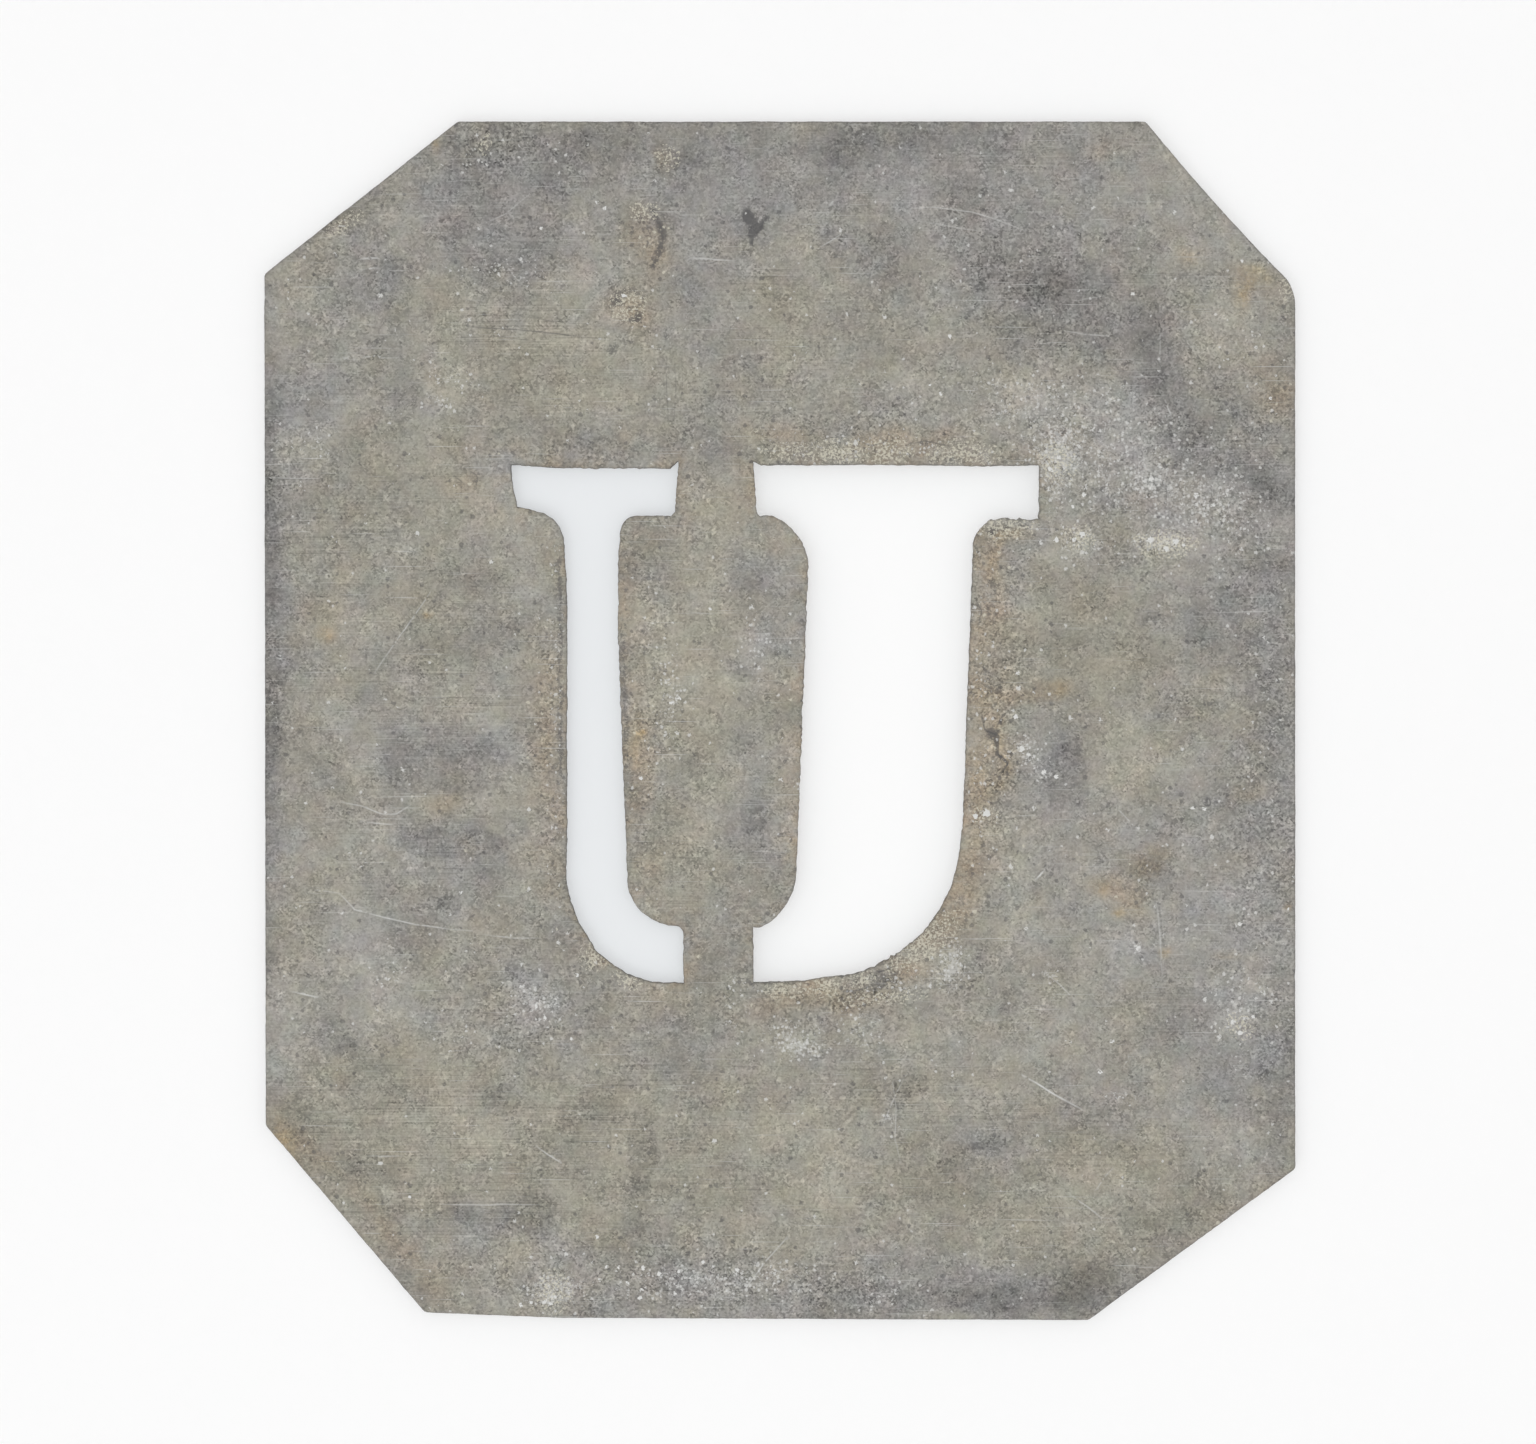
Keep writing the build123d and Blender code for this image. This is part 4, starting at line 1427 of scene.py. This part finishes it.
def darkened(net, colour, marks, noises, crusty):
    """Soot in the pits and painted shade along the cut edges, cracks in the crust, its lumps and hollows,
    and dark dots.
    """
    dark, ragged = marks["dark"], noises["ragged"]
    # the dark mark: soot in pits and flecks, and painted shade along the cut edges
    soot_and_edge_shade = (dark * 4.0 + ragged.spread(7.0) - 1.3).where(dark, 0.08)
    colour = net.mix(soot_and_edge_shade * (dark * 1.2).clamped() * 0.8, colour, SOOT_AND_SHADE)
    border = net.cracks(net.shaken(noises["place"], 0.5, 0.7), 1.0)
    cracked = (border.below(0.075, 0.05) * marks["brown"].scaled(0.9, -0.25).clamped()).clamped()
    colour = net.mix(cracked * 0.45, colour, SOOT_AND_SHADE)
    colour = net.mix(ragged.above(0.55, 0.1) * crusty * 0.5, colour, UMBER)
    colour = net.mix(ragged.below(0.44, 0.1) * crusty * 0.4, colour, TAN)
    density = marks["grit"] * 0.05 + crusty * 0.16 + 0.03
    dots = net.specks(net.shaken(noises["far"], 0.2, 0.3), 0.42, density, 0.34, 0.14)
    return net.mix(dots * 0.5, colour, SOOT_AND_SHADE), dots


def whitened(net, colour, marks, noises, crusty):
    """Chalky bloom in dots and powder, cream grains and cakes in the crust, and crumbs with one painted
    highlight.
    """
    bloom, cream, crumb = marks["bloom"], marks["cream"], marks["crumb"]
    density = bloom * 0.6 + marks["grit"] * 0.04 + 0.01
    small = net.specks(net.shaken(noises["place"], 0.12, 0.25), 0.3, density, 0.32, 0.12)
    colour = net.mix(small * 0.62, colour, CHALK)
    large = net.specks(net.shaken(noises["far"], 0.16, 0.5), 0.55, bloom.scaled(0.12, 0.004), 0.24, 0.12)
    colour = net.mix(large * 0.75, colour, CHALK)
    patchy = bloom * 2.6 + noises["breakup"].spread(9.0) + noises["ragged"].spread(10.0) - 2.3
    colour = net.mix(patchy.where(bloom, 0.05) * 0.4, colour, CHALK)
    density = crusty * 0.05 + marks["rust"] * 0.04
    creamy = net.specks(net.shaken(net.place(shift=(7, 55, 0)), 0.18, 0.3), 0.36, density, 0.32, 0.14)
    colour = net.mix(creamy * 0.65, colour, CREAM)
    grainy = net.noise(noises["place"], 0.2, 1.0, 0.9)
    caked = (cream * 1.7 + grainy.spread(15.0) - 1.0).where(cream, 0.03)
    gaps = (cream * grainy.scaled(-12.0, 5.2).clamped()).clamped()
    colour = net.mix(gaps * 0.5, colour, UMBER)
    colour = net.mix(caked * 0.68, colour, CREAM)
    # crumbs, and one painted highlight dot
    crumbly = (crumb * 2.8 + grainy.spread(9.0) - 1.3).where(crumb, 0.02)
    return net.mix(crumbly, colour, CHALK), small + large + creamy + caked


def scratched(net, colour, marks):
    """Listed scratches, and hairlines too many to place."""
    level = net.noise(net.place(scale=(0.3, 10, 1), shift=(9, 3, 0), turn=-0.03), 1.0, 1.0, 0.6)
    slanted = net.noise(net.place(scale=(0.22, 11, 1), shift=(-9, 33, 0), turn=0.85), 1.0, 0.0)
    hairs = (level.above(0.7, 0.12) + slanted.above(0.76, 0.1)) * 0.45
    share = ((marks["scratch"] * 1.05).clamped() + hairs).clamped()
    # dark scratches: cracks, and the painted shadow beside a fibre
    crack_and_shadow = (marks["scratch"] * -1.0).clamped()
    return net.mix(crack_and_shadow, net.mix(share, colour, BARE), SOOT_AND_SHADE), share


def zinc_bump(net, noises, dots, whites):
    """The fine roughness of the oxide, with its grains standing up and its pits sunk."""
    height = noises["fine"] * 0.6 + noises["ragged"] * 0.4 + noises["breakup"] * 0.6
    height = height + whites * 0.4 + dots * -0.4
    inputs = {"Strength": 1.0, "Distance": BUMP_HEIGHT * MM, "Height": height}
    return net.add("ShaderNodeBump", inputs).outputs[0]


def zinc_material():
    """Oxidised zinc: khaki and slate oxide, chalky bloom, rusty crust by the cuts and fine rolled grain."""
    net = Nodes(bpy.data.materials.new("oxidised_zinc"))
    marks = {name: net.mark(name) for name in MARK_NAMES}
    noises = zinc_noises(net)
    crusty = crustiness(marks, noises)
    colour = oxide(net, marks, noises, crusty)
    colour, dots = darkened(net, colour, marks, noises, crusty)
    colour, whites = whitened(net, colour, marks, noises, crusty)
    colour, bare = scratched(net, colour, marks)
    # painted shade: the rim darkens the face along every edge, and the walls, towards the dark colour
    edge = (marks["rim"] * noises["middle"].scaled(1.5, 0.1)).clamped()
    shader = net.add("ShaderNodeBsdfPrincipled", {
        "Base Color": net.mix(edge * 0.55, colour, SOOT_AND_SHADE),
        "Roughness": 0.64 + noises["breakup"].spread(0.3) + bare * -0.2,
        "Metallic": 0.12 + bare * 0.5 + noises["middle"].spread(0.2),
        "Normal": zinc_bump(net, noises, dots, whites),
        "Specular IOR Level": 0.35,
    })
    net.add("ShaderNodeOutputMaterial", {"Surface": shader.outputs[0]})
    return net.owner


def white_material(name, colour, glow, spread, reach):
    """White board that lets light spread under its skin. The camera sees part of it in its plain colour:
    white on the table, and grey on the thin stroke's card, which is painted shade.
    """
    net = Nodes(bpy.data.materials.new(name))
    board = net.add("ShaderNodeBsdfPrincipled", {
        "Base Color": colour,
        "Roughness": 0.9,
        "Specular IOR Level": 0.0,
        "Subsurface Weight": spread,
        "Subsurface Radius": (1.12, 1.0, 0.96),
        "Subsurface Scale": reach * MM,
    }, subsurface_method="BURLEY")
    plain = net.add("ShaderNodeEmission", {"Color": colour})
    seen = Signal(net, net.add("ShaderNodeLightPath").outputs["Is Camera Ray"])
    mixed = net.add("ShaderNodeMixShader", {0: seen * glow, 1: board.outputs[0], 2: plain.outputs[0]})
    net.add("ShaderNodeOutputMaterial", {"Surface": mixed.outputs[0]})
    return net.owner


# Stage: its sizes and places in millimetres, then how strong its light is

TABLE_REACH = 12000
TABLE_LEVEL = -0.02
CARD_LEVEL = -0.003
CARD_ENDS = (-22, 22)
CARD_SIDES = (-24.5, -4.7, 21.5)
LAMP_PLACE = (-660, -800, 1100)
LAMP_SIZE = 800
LAMP_POWER = 5.0
WORLD_LIGHT = 0.83
WORLD_SEEN = 0.965
LENS = 100
SENSOR = 36


def add_board(across, up, level, material):
    """A flat board, part of the stage, white but for the thin stroke's card, whose grey is painted shade."""
    corners = [(across[0], up[0]), (across[1], up[0]), (across[1], up[1]), (across[0], up[1])]
    mesh = bpy.data.meshes.new(material.name)
    mesh.from_pydata([(x * MM, y * MM, level * MM) for x, y in corners], [], [(0, 1, 2, 3)])
    mesh.materials.append(material)
    board = add_object(material.name, mesh)


def add_floor():
    """A white table, and a duller card under each stroke, where less light comes in; the thin stroke's card
    is also grey, painted shade in that narrow opening.
    """
    table = white_material("white_table", (0.975, 0.975, 0.975, 1), 0.62, 0.6, 4.0)
    thick_card = white_material("thick_card", (0.985, 0.985, 0.983, 1), 0.58, 0.9, 7.0)
    # the thin stroke's grey, cool card is painted shade in its narrow opening
    thin_shade_card = white_material("thin_shade_card", (0.835, 0.853, 0.868, 1), 0.58, 0.5, 3.0)
    add_board((-TABLE_REACH, TABLE_REACH), (-TABLE_REACH, TABLE_REACH), TABLE_LEVEL, table)
    add_board(CARD_SIDES[:2], CARD_ENDS, CARD_LEVEL, thin_shade_card)
    add_board(CARD_SIDES[1:], CARD_ENDS, CARD_LEVEL, thick_card)


def add_lamp():
    """One broad soft lamp at the lower left, as the photograph's shadows show."""
    data = bpy.data.lights.new("window", "AREA")
    data.shape = "DISK"
    data.size = LAMP_SIZE * MM
    data.energy = LAMP_POWER
    lamp = add_object("window", data)
    lamp.location = [part * MM for part in LAMP_PLACE]
    lamp.rotation_mode = "QUATERNION"
    lamp.rotation_quaternion = lamp.location.to_track_quat("Z", "Y")


def add_world():
    """Even light from all sides, and plain white where the camera looks past the table."""
    net = Nodes(bpy.data.worlds.new("studio"))
    seen = net.add("ShaderNodeLightPath").outputs["Is Camera Ray"]
    inputs = {0: seen, MIX_VALUES[0]: WORLD_LIGHT, MIX_VALUES[1]: WORLD_SEEN}
    strength = net.add("ShaderNodeMix", inputs, data_type="FLOAT")
    background = net.add("ShaderNodeBackground", {"Color": (1, 1, 1, 1), "Strength": strength.outputs[0]})
    net.add("ShaderNodeOutputWorld", {"Surface": background.outputs[0]})
    bpy.context.scene.world = net.owner


def add_camera():
    """The camera looks straight down at the sheet from 32 centimetres."""
    data = bpy.data.cameras.new("camera")
    data.lens = LENS
    data.sensor_width = SENSOR
    distance = PICTURE_SIZE[0] / PIXELS_PER_MM * LENS / SENSOR
    x, y = on_face(PICTURE_SIZE / 2)
    camera = add_object("camera", data)
    camera.location = (x * MM, y * MM, (THICKNESS + distance) * MM)
    bpy.context.scene.camera = camera


sheet = Relief().build("zinc_sheet")
sheet.data.materials.append(zinc_material())
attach(sheet, "root")
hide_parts("stencil_plate")
add_floor()
add_lamp()
add_world()
add_camera()
bpy.context.scene.view_settings.view_transform = "Standard"
